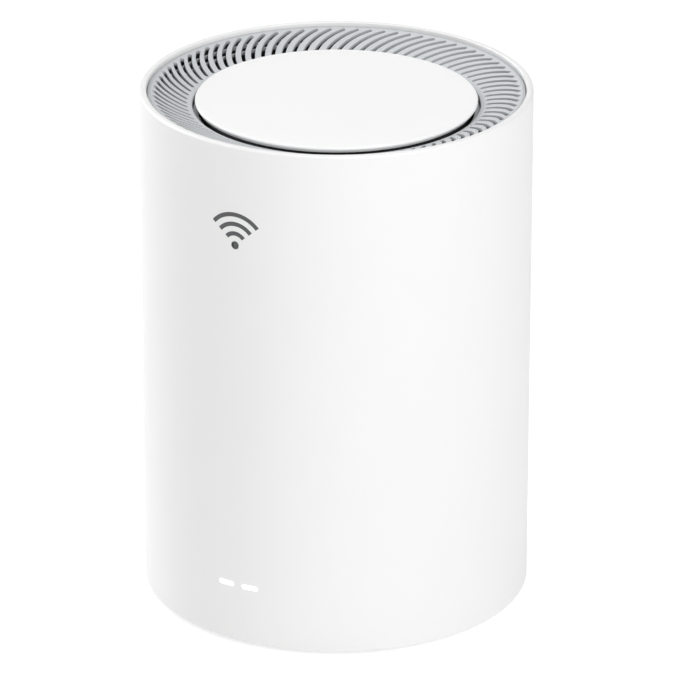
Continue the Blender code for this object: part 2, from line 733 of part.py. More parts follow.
def make_network_jack(name, x):
    back = BOARD_BACK + GAP
    half_x, half_z, sheet = JACK_WIDTH / 2, JACK_HEIGHT / 2, 0.4 * MM
    low, high = (x - half_x, back, JACK_Z - half_z), (x + half_x, JACK_FACE, JACK_Z + half_z)
    shield = box(f"{name}_jack_shield", low, high, "tin_plate")

    def inside(bm):
        add_box(
            bm,
            (x - half_x + sheet, back + sheet, JACK_Z - half_z + sheet),
            (x + half_x - sheet, JACK_FACE + 1 * MM, JACK_Z + half_z - sheet),
        )

    combine(shield, "inside", inside)
    inset = sheet + GAP
    insert = box(
        f"{name}_jack_insert",
        (x - half_x + inset, back + inset, JACK_Z - half_z + inset),
        (x + half_x - inset, JACK_FACE - 0.3 * MM, JACK_Z + half_z - inset),
        "dark_plastic",
    )
    cavity_z = (JACK_Z - 3.8 * MM, JACK_Z + 4.2 * MM)
    cavity_end = 27.0 * MM

    def cavity(bm):
        add_box(bm, (x - 5.9 * MM, cavity_end, cavity_z[0]), (x + 5.9 * MM, 41 * MM, cavity_z[1]))

    def latch_notch(bm):
        low = (x - 3.1 * MM, 30 * MM, JACK_Z - 5.2 * MM)
        add_box(bm, low, (x + 3.1 * MM, 41 * MM, cavity_z[0] + 0.5 * MM))

    combine(insert, "cavity", cavity)
    combine(insert, "latch_notch", latch_notch)

    block = (x - 4.6 * MM, cavity_end + GAP, cavity_z[1] - 2.6 * MM)
    contacts = box(
        f"{name}_jack_contacts",
        block,
        (x + 4.6 * MM, cavity_end + 1.6 * MM, cavity_z[1] - GAP),
        "gold_contact",
    )
    pitch, half_wire = 1.02 * MM, 0.18 * MM

    def wires(bm):
        root_y, tip_y = cavity_end + 1.0 * MM, 38.0 * MM
        root_z, tip_z = cavity_z[1] - 2.1 * MM, cavity_z[1] - 0.8 * MM
        for k in range(8):
            part = bmesh.new()
            at = x + (k - 3.5) * pitch
            low = (at - half_wire, root_y, root_z - half_wire)
            add_box(part, low, (at + half_wire, tip_y, root_z + half_wire))
            for vert in part.verts:
                vert.co.z += (tip_z - root_z) * (vert.co.y - root_y) / (tip_y - root_y)
            copy_into(part, bm)

    combine(contacts, "wires", wires, "UNION")


def make_power_jack():
    back = BOARD_BACK + GAP
    half_x, half_z = POWER_SIZE[0] / 2, POWER_SIZE[1] / 2
    low, high = (POWER_X - half_x, back, JACK_Z - half_z), (POWER_X + half_x, JACK_FACE, JACK_Z + half_z)
    body = box("power_jack_body", low, high, "chip_black")
    floor = JACK_FACE - 9.5 * MM

    def barrel(bm):
        add_cylinder(bm, POWER_HOLE_R, (POWER_X, floor, JACK_Z), (POWER_X, 41 * MM, JACK_Z), 24)

    combine(body, "barrel", barrel)
    pin = [(0.0, 0.0), (1.0 * MM, 0.0), (1.0 * MM, 7.6 * MM), (0.6 * MM, 8.1 * MM), (0.0, 8.1 * MM)]
    location = (POWER_X, floor + GAP, JACK_Z)
    turn = (-math.pi / 2, 0, 0)
    solid("power_jack_pin", lambda bm: add_turned(bm, pin, 12), "tin_plate", location, turn)


# ---- the buttons: each moves along -Y when it is pressed ---------------------------------------


def make_switch(name, x, stem_r, stem_length):
    """A tact switch on the board's back, and its stem, which moves."""
    back = BOARD_BACK + GAP
    face, half = back + SWITCH_HEIGHT, SWITCH_WIDTH / 2
    low, high = (x - half, back, BUTTON_Z - half), (x + half, face, BUTTON_Z + half)
    case = box(f"{name}_switch_base", low, high, "chip_black")

    def well(bm):
        start, end = (x, face - WELL_DEPTH, BUTTON_Z), (x, face + 1 * MM, BUTTON_Z)
        add_cylinder(bm, stem_r + GAP, start, end, 16)

    combine(case, "well", well)
    profile = [(0.0, 0.0), (stem_r, 0.0), (stem_r, stem_length), (0.0, stem_length)]
    location = (x, back + STEM_START, BUTTON_Z)
    turn = (-math.pi / 2, 0, 0)
    solid(f"{name}_switch_stem", lambda bm: add_turned(bm, profile, 16), "frame_plastic", location, turn)
    return back + STEM_START + stem_length


def make_buttons():
    stem_end = make_switch("pairing", PAIRING_X, 1.7 * MM, 6.4 * MM)
    make_switch("reset", RESET_X, 1.3 * MM, 3.4 * MM)
    start = stem_end + GAP
    flange_top = PANEL_BACK - GAP - start
    tip = PANEL_FACE + 1.0 * MM - start
    profile = [
        (0.0, 0.0),
        (1.6 * MM, 0.0),
        (1.6 * MM, flange_top - 1.1 * MM),
        (BUTTON_R + 1.0 * MM, flange_top - 1.1 * MM),
        (BUTTON_R + 1.0 * MM, flange_top),
        (BUTTON_R, flange_top),
        (BUTTON_R, tip - 0.4 * MM),
        (BUTTON_R - 0.4 * MM, tip),
        (0.0, tip),
    ]
    location, turn = (PAIRING_X, start, BUTTON_Z), (-math.pi / 2, 0, 0)
    solid("pairing_button", lambda bm: add_turned(bm, profile, 24), "white_shell", location, turn)


# ---- the status lights -------------------------------------------------------------------------
def make_lights():
    low, high = (-8 * MM, -46.8 * MM, LIGHT_Z - 2.5 * MM), (8 * MM, -44.6 * MM, LIGHT_Z + 2.5 * MM)
    guide = box("light_guide", low, high, "light_pipe")

    def prongs(bm):
        for side in (-1, 1):
            add_prism(bm, light_outline(side), -52 * MM, -45.6 * MM)

    def shell(bm):
        add_cylinder(bm, SLEEVE_R - 0.05 * MM, (0, 0, 0), (0, 0, 60 * MM), ROUND_STEPS)

    combine(guide, "prongs", prongs, "UNION")
    combine(guide, "shell", shell, "INTERSECT")
    box("light_board", (-9 * MM, -42.6 * MM, 11.2 * MM), (9 * MM, -41.4 * MM, 22.2 * MM), "board_green")
    for name, side in (("left", -1), ("right", 1)):
        x = side * LIGHT_X
        low = (x - 1.7 * MM, -44.3 * MM, LIGHT_Z - 1.4 * MM)
        box(f"status_led_{name}", low, (x + 1.7 * MM, -42.9 * MM, LIGHT_Z + 1.4 * MM), "light_pipe")


# ---- cables and antennas -----------------------------------------------------------------------
def smooth(points, per_span):
    """Points along a Catmull-Rom curve through the given ones."""
    ends = [points[0] * 2 - points[1], *points, points[-1] * 2 - points[-2]]
    found = []
    for a, b, c, d in zip(ends, ends[1:], ends[2:], ends[3:]):
        for i in range(per_span):
            t = i / per_span
            slope = (c - a) * t
            bend = (a * 2 - b * 5 + c * 4 - d) * t**2
            twist = (b * 3 - a - c * 3 + d) * t**3
            found.append((b * 2 + slope + bend + twist) / 2)
    return [*found, points[-1]]


def cable(name, route, radius, plug_face):
    """A round cable along the route, in millimetres. Its last point is in a plug on the board."""
    points = smooth([Vector(p) * MM for p in route], 2)
    curve = bpy.data.curves.new(name, "CURVE")
    curve.dimensions = "3D"
    curve.bevel_depth = radius
    curve.bevel_resolution = 1
    curve.use_fill_caps = True
    spline = curve.splines.new("POLY")
    spline.points.add(len(points) - 1)
    for point, at in zip(spline.points, points):
        point.co = (*at, 1.0)
    drawn = bpy.data.objects.new(name, curve)
    mesh = bpy.data.meshes.new_from_object(drawn)
    bpy.data.objects.remove(drawn)
    lead = solid(name, lambda bm: bm.from_mesh(mesh), "cable_black")
    end = points[-1]
    start = Vector((end.x, plug_face, end.z))
    top = Vector((end.x, 2 * end.y - plug_face, end.z))
    combine(lead, "plug", lambda bm: add_cylinder(bm, PLUG_R, start, top, 12), "UNION")


def make_antennas():
    half, thick = 4.5 * MM, 0.8 * MM
    for k, angle in enumerate(QUARTERS):
        low = (CAGE_R + GAP, -half, 62 * MM)
        high = (CAGE_R + GAP + thick, half, 104 * MM)
        blade = box(f"antenna_{k + 1}", low, high, "board_green")
        blade.rotation_euler = (0, 0, angle)
    back, front = BOARD_BACK + GAP, BOARD_FRONT - GAP
    routes = [(BACK_ROUTE, back), (BACK_ROUTE, back), (FRONT_ROUTE, front), (FRONT_ROUTE, front)]
    for k, (side, (route, face)) in enumerate(zip((1, -1, -1, 1), routes)):
        placed = [(side * x, y, z) for x, y, z in route]
        cable(f"antenna_cable_{k + 1}", placed, 0.56 * MM, face)
    cable("light_cable", LIGHT_ROUTE, 0.8 * MM, front)


def main():
    for obj in list(bpy.data.objects):
        bpy.data.objects.remove(obj)
    make_sleeve()
    make_grille()
    make_disc()
    make_carrier()
    make_base()
    make_chassis()
    make_board()
    make_board_parts()
    make_heat_sink()
    make_port_panel()
    for name, x in JACK_X.items():
        make_network_jack(name, x)
    make_power_jack()
    make_buttons()
    make_lights()
    make_antennas()


main()
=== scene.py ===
"""Looks for the mesh wifi node: fine meshes, procedural materials, lights and a camera.

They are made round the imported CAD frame. Metres. The shell stands upright on Z, its status
lights face -Y and its ports face +Y.
"""

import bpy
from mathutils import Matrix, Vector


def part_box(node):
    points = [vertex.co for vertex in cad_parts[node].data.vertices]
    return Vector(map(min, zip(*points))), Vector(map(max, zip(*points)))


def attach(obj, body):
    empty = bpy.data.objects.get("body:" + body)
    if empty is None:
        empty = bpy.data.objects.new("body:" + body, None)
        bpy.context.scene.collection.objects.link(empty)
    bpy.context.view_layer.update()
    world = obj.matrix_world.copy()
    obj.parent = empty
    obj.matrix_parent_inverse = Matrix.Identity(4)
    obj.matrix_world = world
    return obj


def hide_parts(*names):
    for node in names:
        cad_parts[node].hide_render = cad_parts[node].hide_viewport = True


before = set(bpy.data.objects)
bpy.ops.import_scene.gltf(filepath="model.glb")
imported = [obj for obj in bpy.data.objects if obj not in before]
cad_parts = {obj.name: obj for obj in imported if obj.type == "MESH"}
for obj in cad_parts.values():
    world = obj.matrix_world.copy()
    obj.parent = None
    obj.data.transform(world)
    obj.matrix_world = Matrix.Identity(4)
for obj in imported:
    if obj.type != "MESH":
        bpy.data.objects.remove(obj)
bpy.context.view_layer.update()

import math
import random

import bmesh
import bpy
from mathutils import Matrix, Vector

MM = 0.001
GAP = 0.3 * MM
MERGE = 0.0005 * MM
FLAT_ANGLE = math.radians(0.5)
HOUSING = "housing"
Z_TO_Y = Matrix.Rotation(-math.pi / 2, 4, "X")


def corners(node):
    """The low and the high corner of a CAD node's box."""
    return [Vector(corner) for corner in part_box(node)]


# ---- sizes read from the frame -----------------------------------------------------------------
SLEEVE_LOW, SLEEVE_HIGH = corners("outer_sleeve")
SLEEVE_R = SLEEVE_HIGH.x
SLEEVE_FOOT, TOP = SLEEVE_LOW.z, SLEEVE_HIGH.z
GRILLE_FOOT = corners("top_grille")[0].z
DISC_LOW, DISC_HIGH = corners("top_disc")
DISC_R = DISC_HIGH.x

# ---- the shell ---------------------------------------------------------------------------------
WALL = 1.8 * MM
BORE_R = SLEEVE_R - WALL
RIM_ROUND = 0.75 * MM
BORE_RIM_ROUND = 0.35 * MM
FOOT_ROUND = 0.45 * MM
WALL_ROWS = 12
SHELL_STEPS = 256
SHELL_EDGE = 0.4 * MM
# The two ledges inside, which the ring and the base rest on: heights, depth, and half of each
# one's height at its crest and at the wall.
INNER_LEDGES = (TOP - 12.3 * MM, 4.9 * MM)
INNER_LEDGE_DEPTH = 1.05 * MM
INNER_LEDGE_CREST, INNER_LEDGE_ROOT = 0.6 * MM, 1.125 * MM

# ---- the louvred ring --------------------------------------------------------------------------
SLOT_COUNT = 82
PITCH = math.tau / SLOT_COUNT
GRILLE_R = BORE_R - 0.24 * MM
BAND_DROP = 1.0 * MM
BAND_EDGE = 0.16 * MM
CONE_R = 46.7 * MM
CONE_DROP = 1.05 * MM
CONE_SLOPE = 0.345
PLATE = 1.1 * MM
LIP_R = 36.4 * MM
LIP_ROUND = 0.35 * MM
SLOT_IN_R = 37.65 * MM
SLOT_OUT_R = 46.5 * MM
SLOT_LEAD = math.radians(2.9)
SLOT_TRAIL = math.radians(7.1)
SLOT_SAG = 1.0 * MM
SLOT_WIDTH = 1.02 * MM
SLOT_PHASE = math.radians(2.2)
SLOT_EDGE = 0.1 * MM
SLOT_EDGE_STEPS = 3
SLOT_ROWS = 12
SLOT_INNER_RING = SLOT_IN_R - 0.45 * MM
SLOT_OUTER_RING = CONE_R
SLOT_END_STEPS = 6
# The two thin rings under the louvres, and the light ledge under the disc's edge.
BAR_RADII = (42.9 * MM, 45.2 * MM)
BAR_HALF, BAR_DEPTH, BAR_GAP = 0.3 * MM, 0.9 * MM, 0.15 * MM
LEDGE_DROP, LEDGE_DEPTH = 6.2 * MM, 0.6 * MM
# Painted shade on a slot's wall: what is left of the colour at shares of the plate's thickness.
SLOT_PAINTED_SHADE = ((0.03, 1.0), (0.12, 0.82), (0.55, 0.74), (1.0, 0.06))

# ---- the cap disc ------------------------------------------------------------------------------
DISC_FACE = TOP - 3.0 * MM
DISC_CROWN = 0.1 * MM
DISC_ROUND = 0.5 * MM
DISC_EDGE = 1.45 * MM
DISC_TAPER = 0.5 * MM
DISC_LIP = 0.12 * MM
DISC_PLATE = 1.7 * MM
DISC_RINGS = 10
DISC_STEPS = 192
DISC_SKIRT_R = 34.8 * MM
DISC_SKIRT_DROP = 6.3 * MM
DISC_LEGS_REACH = 30 * MM
# Radii of the hollow under the disc at its mouth and its floor, of the skirt's foot inside and
# outside, and of the light ledge that shows in the gap round the skirt.
DISC_HOLLOW_RADII = (DISC_SKIRT_R - 0.4 * MM, DISC_SKIRT_R - 1.9 * MM)
DISC_SKIRT_RADII = (DISC_SKIRT_R - 1.6 * MM, DISC_SKIRT_R - 0.5 * MM)
LEDGE_RADII = (DISC_SKIRT_R + 0.15 * MM, LIP_R - 0.1 * MM)

# ---- the port bay, the lights and the mark -----------------------------------------------------
BAY_HALF = 25.5 * MM
BAY_Z = (12.0 * MM, 44.3 * MM)
BAY_ROUND = 3.5 * MM
BAY_CUT = (30 * MM, 55 * MM)
PANEL_BACK = 38.0 * MM
LIGHT_Z = 16.7 * MM
LIGHT_X = 3.4 * MM
LIGHT_SIZE = (4.6 * MM, 1.4 * MM)
LIGHT_ROUND, LIGHT_STEPS = 0.98, 8
LIGHT_CUT = (-55 * MM, -44 * MM)
LIGHT_GAP = 0.02 * MM
LENS_BACK = -46.0 * MM
# Rows of a lens from its middle out: share of the outline, and how far back it lies.
LENS_ROWS = ((0.0, 0.0), (0.5, 0.0), (0.9, 0.0), (0.97, 0.02 * MM), (1.0, 0.07 * MM))
GUIDE_KEEP = ((-20 * MM, -46.75 * MM, 0), (20 * MM, -40 * MM, 40 * MM))
MARK_Z = TOP - 22.6 * MM
MARK_RADII = (3.1 * MM, 5.6 * MM, 8.1 * MM)
MARK_LINE = 1.1 * MM
MARK_SPREAD = math.radians(50)
MARK_STEPS = 24
MARK_LIFT = 0.025 * MM
MARK_DOT = 1.05 * MM
MARK_DOT_ROWS, MARK_DOT_REACH = 6, 0.98
MARK_FOOT = -3.3 * MM

# ---- feet and screws ---------------------------------------------------------------------------
FOOT_EDGE, FOOT_TOP_EDGE = 0.6 * MM, 0.1 * MM
FOOT_DISH, FOOT_DISH_SHARES = 0.12 * MM, (0.62, 0.66)
CARRIER_SCREW = {
    "head_r": 2.2 * MM, "head_height": 1.3 * MM, "shank_r": 0.9 * MM, "length": 4.2 * MM,
}
BASE_SCREW = {
    "head_r": 2.7 * MM, "head_height": 1.7 * MM, "shank_r": 1.3 * MM, "length": 6.0 * MM,
}
BOARD_SCREW = {
    "head_r": 2.6 * MM, "head_height": 1.6 * MM, "shank_r": 1.2 * MM, "length": 6.6 * MM,
}
# A head's round top as angles from its axis, and its straight side as a share of its height.
HEAD_ANGLES, HEAD_SIDE = (0.5, 0.8, 1.1, 1.35), 0.12
# Where a thread's groove starts, is at its floor and leaves it, as shares of the pitch.
THREAD_GROOVE = (0.45, 0.6, 0.85)
THREAD_DEPTH, THREAD_PITCH, THREAD_START = 0.22 * MM, 0.8 * MM, 0.6 * MM
# A point's height as a share of the shank's radius.
SCREW_TIP = 0.8
# The cross recess: its depth, and its arms' reach and half width as shares of the head's radius.
RECESS_DEPTH, RECESS_ARM, RECESS_HALF = 0.9 * MM, 0.52, 0.12
RECESS_CUT = 0.5 * MM

# ---- sockets, buttons and the board's small parts ----------------------------------------------
JACK_WINDOW = (3.0 * MM, 1.25 * MM)
JACK_WINDOW_X, JACK_WINDOW_DROP = 5.2 * MM, 0.95 * MM
JACK_WINDOW_DEPTH, JACK_WINDOW_PROUD = 1 * MM, 0.12 * MM
# The power pin's round tip and the flat on it, as shares of the pin's radius.
PIN_TIP, PIN_FLAT = 0.7, 0.3
LINER_RADII = (2.82 * MM, 3.05 * MM)
LINER_REACH = (0.2 * MM, 8.6 * MM)
BUTTON_R, BUTTON_EDGE = 3.0 * MM, 0.45 * MM
BUTTON_DISH, BUTTON_DISH_SHARE, BUTTON_DISH_ANGLES = 0.28 * MM, 0.72, (0.0, 0.5, 1.0, 1.3)
BUTTON_STEM_R, BUTTON_FLANGE = 1.6 * MM, 1.1 * MM
SMALL_PARTS = 110
SMALL_PART_HALF = (0.5 * MM, 0.25 * MM)
SMALL_PART_HEIGHT, SMALL_PART_SINK = 0.45 * MM, 0.02 * MM
# What each small part keeps free: round itself, from the bigger parts, and from the board's edge.
SMALL_PART_ROOM, SMALL_PART_CLEARANCE, SMALL_PART_MARGIN = 1.2 * MM, 1 * MM, 3 * MM

# ---- the camera: a long lens, turned round from the front and tilted down ----------------------
CAMERA_TURN = math.radians(30.2)
CAMERA_TILT = math.radians(22.962)
CAMERA_DISTANCE = 27.797 * SLEEVE_R
CAMERA_TARGET = Vector((0, 0, SLEEVE_FOOT + 1.3252 * SLEEVE_R))
CAMERA_CLIP = (0.05, 50.0)
LENS, SENSOR = 287.7, 36.0

# ---- the studio --------------------------------------------------------------------------------
# A light's name, height, turn from the camera's side, distance, size and power.
STUDIO_LIGHTS = (
    ("key", 1.35, 27, 1.6, 1.1, 25.0),
    ("side", 0.75, -126, 1.6, 1.0, 20.0),
    ("overhead", 1.6, 0, 0.1, 1.2, 8.6),
)
SKY = 0.26
FLOOR_HALF = 4.0
FLOOR_GLOW = 0.6


# ---- node helpers ------------------------------------------------------------------------------
def new_material(name):
    material = bpy.data.materials.new(name)
    material.use_nodes = True
    return material, material.node_tree, material.node_tree.nodes["Principled BSDF"]


def object_coords(tree, stretch=(1, 1, 1)):
    coords = tree.nodes.new("ShaderNodeTexCoord")
    mapping = tree.nodes.new("ShaderNodeMapping")
    mapping.inputs["Scale"].default_value = stretch
    tree.links.new(coords.outputs["Object"], mapping.inputs["Vector"])
    return mapping.outputs["Vector"]


def coordinate_parts(tree):
    """The object's coordinates one by one: outputs named X, Y and Z."""
    split = tree.nodes.new("ShaderNodeSeparateXYZ")
    tree.links.new(object_coords(tree), split.inputs["Vector"])
    return split.outputs


def flat_vector(tree, x, y):
    """A vector from the two outputs, flat on X and Y."""
    joined = tree.nodes.new("ShaderNodeCombineXYZ")
    tree.links.new(x, joined.inputs["X"])
    tree.links.new(y, joined.inputs["Y"])
    return joined.outputs["Vector"]


def noise(tree, vector, scale, detail):
    node = tree.nodes.new("ShaderNodeTexNoise")
    node.inputs["Scale"].default_value = scale
    node.inputs["Detail"].default_value = detail
    tree.links.new(vector, node.inputs["Vector"])
    return node.outputs["Fac"]


def color_ramp(tree, factor, *stops):
    """The factor turned into a colour. Each stop is a place from 0 to 1 and its colour."""
    ramp = tree.nodes.new("ShaderNodeValToRGB")
    elements = ramp.color_ramp.elements
    for i, (place, color) in enumerate(stops):
        stop = elements[i] if i < len(elements) else elements.new(place)
        stop.position = place
        stop.color = (*color, 1)
    tree.links.new(factor, ramp.inputs["Fac"])
    return ramp.outputs["Color"]


def blend_colors(tree, factor, first, second, low=0.35, high=0.65):
    """The colour first where factor is low and second where it is high."""
    return color_ramp(tree, factor, (low, first), (high, second))


def spread(tree, factor, low, high, most=1.0):
    """The factor from 0 to most, spread over low to high."""
    node = tree.nodes.new("ShaderNodeMapRange")
    node.inputs["From Max"].default_value = most
    node.inputs["To Min"].default_value = low
    node.inputs["To Max"].default_value = high
    tree.links.new(factor, node.inputs["Value"])
    return node.outputs["Result"]


def arithmetic(tree, operation, *values):
    """One sum. Each value is a number or another node's output."""
    node = tree.nodes.new("ShaderNodeMath")
    node.operation = operation
    for entry, value in zip(node.inputs, values):
        if isinstance(value, float):
            entry.default_value = value
        else:
            tree.links.new(value, entry)
    return node.outputs["Value"]


def dress(tree, shader, color, roughness, height, depth):
    """Gives the shader its colour, its roughness and a bump of that depth."""
    tree.links.new(color, shader.inputs["Base Color"])
    tree.links.new(roughness, shader.inputs["Roughness"])
    bump = tree.nodes.new("ShaderNodeBump")
    bump.inputs["Strength"].default_value = 1.0
    bump.inputs["Distance"].default_value = depth
    tree.links.new(height, bump.inputs["Height"])
    tree.links.new(bump.outputs["Normal"], shader.inputs["Normal"])


def shade(color, factor):
    return tuple(channel * factor for channel in color)


# ---- materials ---------------------------------------------------------------------------------
def moulded(name, color, roughness, grain=2600.0, depth=0.004 * MM, mottle=0.02):
    """Moulded plastic: a fine spark-eroded grain, with slow changes of tone and gloss."""
    material, tree, shader = new_material(name)
    place = object_coords(tree)
    slow = noise(tree, place, scale=38.0, detail=2.0)
    fine = noise(tree, place, scale=grain, detail=2.0)
    tone = blend_colors(tree, slow, shade(color, 1 - mottle), color)
    gloss = spread(tree, fine, low=roughness - 0.05, high=roughness + 0.05)
    dress(tree, shader, tone, gloss, fine, depth)
    return material


def painted_slot_shade_plastic(name, color, roughness):
    """Light moulded plastic with painted shade: its slot walls' colour turns dark with their depth
    under the cone.
    """
    material = moulded(name, color, roughness, 3200.0, 0.008 * MM, 0.015)
    tree = material.node_tree
    shader = tree.nodes["Principled BSDF"]
    face_color = shader.inputs["Base Color"].links[0].from_socket
    parts = coordinate_parts(tree)
    radius = tree.nodes.new("ShaderNodeVectorMath")
    radius.operation = "LENGTH"
    tree.links.new(flat_vector(tree, parts["X"], parts["Y"]), radius.inputs[0])
    face = arithmetic(tree, "MULTIPLY_ADD", radius.outputs["Value"], CONE_SLOPE, cone(0.0))
    depth = arithmetic(tree, "SUBTRACT", face, parts["Z"])
    share = spread(tree, depth, low=0.0, high=1.0, most=PLATE)
    left = color_ramp(tree, share, *((place, (value,) * 3) for place, value in SLOT_PAINTED_SHADE))
    # Painted shade: the face colour is multiplied by what is left of it at that depth.
    painted_shade_mix = tree.nodes.new("ShaderNodeMix")
    painted_shade_mix.data_type = "RGBA"
    painted_shade_mix.blend_type = "MULTIPLY"
    painted_shade_mix.inputs["Factor"].default_value = 1.0
    first, second, result = painted_shade_mix.inputs[6], painted_shade_mix.inputs[7], painted_shade_mix.outputs[2]
    tree.links.new(face_color, first)
    tree.links.new(left, second)
    tree.links.new(result, shader.inputs["Base Color"])
    return material


def rolled_metal(name, color, roughness, along=(1, 1, 1), depth=0.003 * MM):
    """Sheet or extruded metal: fine lines along one direction and small changes of tone."""
    material, tree, shader = new_material(name)
    lines = noise(tree, object_coords(tree, along), scale=900.0, detail=4.0)
    cloud = noise(tree, object_coords(tree), scale=160.0, detail=3.0)
    tone = blend_colors(tree, cloud, shade(color, 0.86), color)
    gloss = spread(tree, lines, low=roughness - 0.08, high=roughness + 0.12)
    dress(tree, shader, tone, gloss, lines, depth)
    shader.inputs["Metallic"].default_value = 1.0
    return material


def circuit_board(name, mask, copper):
    """Solder resist over tracks: the tracks show as slightly lighter, raised lines."""
    material, tree, shader = new_material(name)
    parts = coordinate_parts(tree)
    tracks = tree.nodes.new("ShaderNodeTexBrick")
    tracks.offset_frequency = 3
    tracks.inputs["Scale"].default_value = 260.0
    tracks.inputs["Mortar Size"].default_value = 0.045
    tracks.inputs["Mortar Smooth"].default_value = 0.3
    tracks.inputs["Brick Width"].default_value = 1.3
    tracks.inputs["Row Height"].default_value = 0.32
    tree.links.new(flat_vector(tree, parts["X"], parts["Z"]), tracks.inputs["Vector"])
    weave = noise(tree, object_coords(tree), scale=1400.0, detail=2.0)
    tone = blend_colors(tree, tracks.outputs["Fac"], mask, copper, low=0.2, high=0.8)
    gloss = spread(tree, weave, low=0.26, high=0.40)
    dress(tree, shader, tone, gloss, tracks.outputs["Fac"], 0.02 * MM)
    return material


def soft_rubber(name, color):
    """Rubber or a soft jacket: a coarse grain and a little dust."""
    material, tree, shader = new_material(name)
    place = object_coords(tree)
    grain = noise(tree, place, scale=1800.0, detail=4.0)
    dust = noise(tree, place, scale=220.0, detail=4.0)
    tone = blend_colors(tree, dust, color, shade(color, 1.35), low=0.4, high=0.75)
    dress(tree, shader, tone, spread(tree, grain, low=0.68, high=0.88), grain, 0.02 * MM)
    return material


def lit_plastic(name, color, strength):
    """A milky light pipe that is lit from behind, a little uneven along its length."""
    material, tree, shader = new_material(name)
    cloud = noise(tree, object_coords(tree), scale=420.0, detail=2.0)
    lit = blend_colors(tree, cloud, shade(color, 0.9), color)
    tree.links.new(lit, shader.inputs["Base Color"])
    tree.links.new(lit, shader.inputs["Emission Color"])
    tree.links.new(spread(tree, cloud, low=0.22, high=0.34), shader.inputs["Roughness"])
    shader.inputs["Emission Strength"].default_value = strength
    return material


def make_looks():
    """Every material by its name. Each row is its maker, its name and what the maker is told."""
    rows = (
        (moulded, "white_shell", (0.83, 0.83, 0.828), 0.36, 2600.0, 0.004 * MM, 0.006),
        (moulded, "white_cap", (0.875, 0.875, 0.873), 0.42, 2600.0, 0.004 * MM, 0.005),
        # The grille's slot walls carry painted shade, darker with depth.
        (painted_slot_shade_plastic, "grille_plastic", (0.56, 0.575, 0.592), 0.5),
        (moulded, "bar_plastic", (0.42, 0.435, 0.45), 0.5, 3200.0, 0.008 * MM, 0.015),
        (moulded, "ledge_plastic", (0.62, 0.635, 0.65), 0.5, 3200.0, 0.008 * MM, 0.015),
        # The skirt's near-black colour is painted shade for the deep gap under the disc's edge.
        (moulded, "skirt_black", (0.014, 0.014, 0.015), 0.3, 2400.0, 0.002 * MM, 0.1),
        (moulded, "frame_plastic", (0.035, 0.036, 0.04), 0.6, 2000.0, 0.02 * MM, 0.12),
        (moulded, "base_plastic", (0.80, 0.80, 0.80), 0.5, 2000.0, 0.02 * MM, 0.02),
        (moulded, "panel_plastic", (0.55, 0.57, 0.59), 0.5, 2200.0, 0.015 * MM, 0.03),
        (moulded, "dark_plastic", (0.014, 0.014, 0.015), 0.42, 2400.0, 0.008 * MM, 0.15),
        (moulded, "stem_plastic", (0.02, 0.02, 0.022), 0.45, 2400.0, 0.008 * MM, 0.15),
        (moulded, "chip_black", (0.018, 0.018, 0.019), 0.55, 3600.0, 0.012 * MM, 0.2),
        (rolled_metal, "capacitor_can", (0.72, 0.73, 0.75), 0.3, (1, 0.05, 1)),
        (rolled_metal, "tin_plate", (0.70, 0.70, 0.71), 0.28, (0.04, 1, 1)),
        (rolled_metal, "heat_sink_aluminium", (0.70, 0.71, 0.73), 0.38, (1, 1, 0.03)),
        (rolled_metal, "screw_steel", (0.60, 0.60, 0.62), 0.3),
        (rolled_metal, "gold_contact", (0.86, 0.62, 0.22), 0.22, (1, 0.05, 1), 0.001 * MM),
        (soft_rubber, "thermal_pad", (0.30, 0.38, 0.50)),
        (soft_rubber, "foot_rubber", (0.16, 0.165, 0.17)),
        (soft_rubber, "cable_black", (0.02, 0.02, 0.02)),
        (circuit_board, "board_green", (0.006, 0.075, 0.035), (0.02, 0.14, 0.06)),
        (circuit_board, "antenna_board", (0.006, 0.075, 0.035), (0.55, 0.30, 0.10)),
        (lit_plastic, "light_pipe", (0.95, 0.97, 1.0), 0.5),
        (lit_plastic, "led_body", (1.0, 0.93, 0.62), 1.0),
        (moulded, "mark_ink", (0.085, 0.088, 0.092), 0.5, 3000.0, 0.004 * MM, 0.05),
        (moulded, "ceramic_tan", (0.42, 0.30, 0.17), 0.4, 4000.0, 0.01 * MM, 0.15),
        (moulded, "light_window", (0.55, 0.60, 0.55), 0.25, 2000.0, 0.002 * MM, 0.05),
    )
    return {name: make(name, *told) for make, name, *told in rows}


# ---- mesh helpers ------------------------------------------------------------------------------
def link_piece(name, mesh, look, slot, body, *nodes, sharp=35):
    """Puts the mesh in the scene as a piece that stands for the nodes, if there are any."""
    mesh.shade_smooth()
    mesh.set_sharp_from_angle(angle=math.radians(sharp))
    mesh.materials.clear()
    mesh.materials.append(LOOKS[look])
    piece = bpy.data.objects.new(name, mesh)
    bpy.context.scene.collection.objects.link(piece)
    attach(piece, body)
    if nodes:
        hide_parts(*nodes)


def mesh_from(fill):
    """The mesh that fill puts together, with its faces turned outwards."""
    bm = bmesh.new()
    fill(bm)
    bmesh.ops.remove_doubles(bm, verts=bm.verts, dist=MERGE)
    bmesh.ops.recalc_face_normals(bm, faces=bm.faces)
    mesh = bpy.data.meshes.new("shape")
    bm.to_mesh(mesh)
    bm.free()
    return mesh


def evaluated_mesh(mesh, add_modifier):
    """The mesh after the modifier that add_modifier puts on it."""
    holder = bpy.data.objects.new("holder", mesh)
    bpy.context.scene.collection.objects.link(holder)
    add_modifier(holder)
    graph = bpy.context.evaluated_depsgraph_get()
    result = bpy.data.meshes.new_from_object(holder.evaluated_get(graph))
    bpy.data.objects.remove(holder)
    return result


def boolean_mesh(mesh, tool_mesh, operation):
    tool = bpy.data.objects.new("tool", tool_mesh)
    bpy.context.scene.collection.objects.link(tool)

    def add(holder):
        modifier = holder.modifiers.new("boolean", "BOOLEAN")
        modifier.operation = operation
        modifier.solver = "EXACT"
        modifier.object = tool

    result = evaluated_mesh(mesh, add)
    bpy.data.objects.remove(tool)
    return result


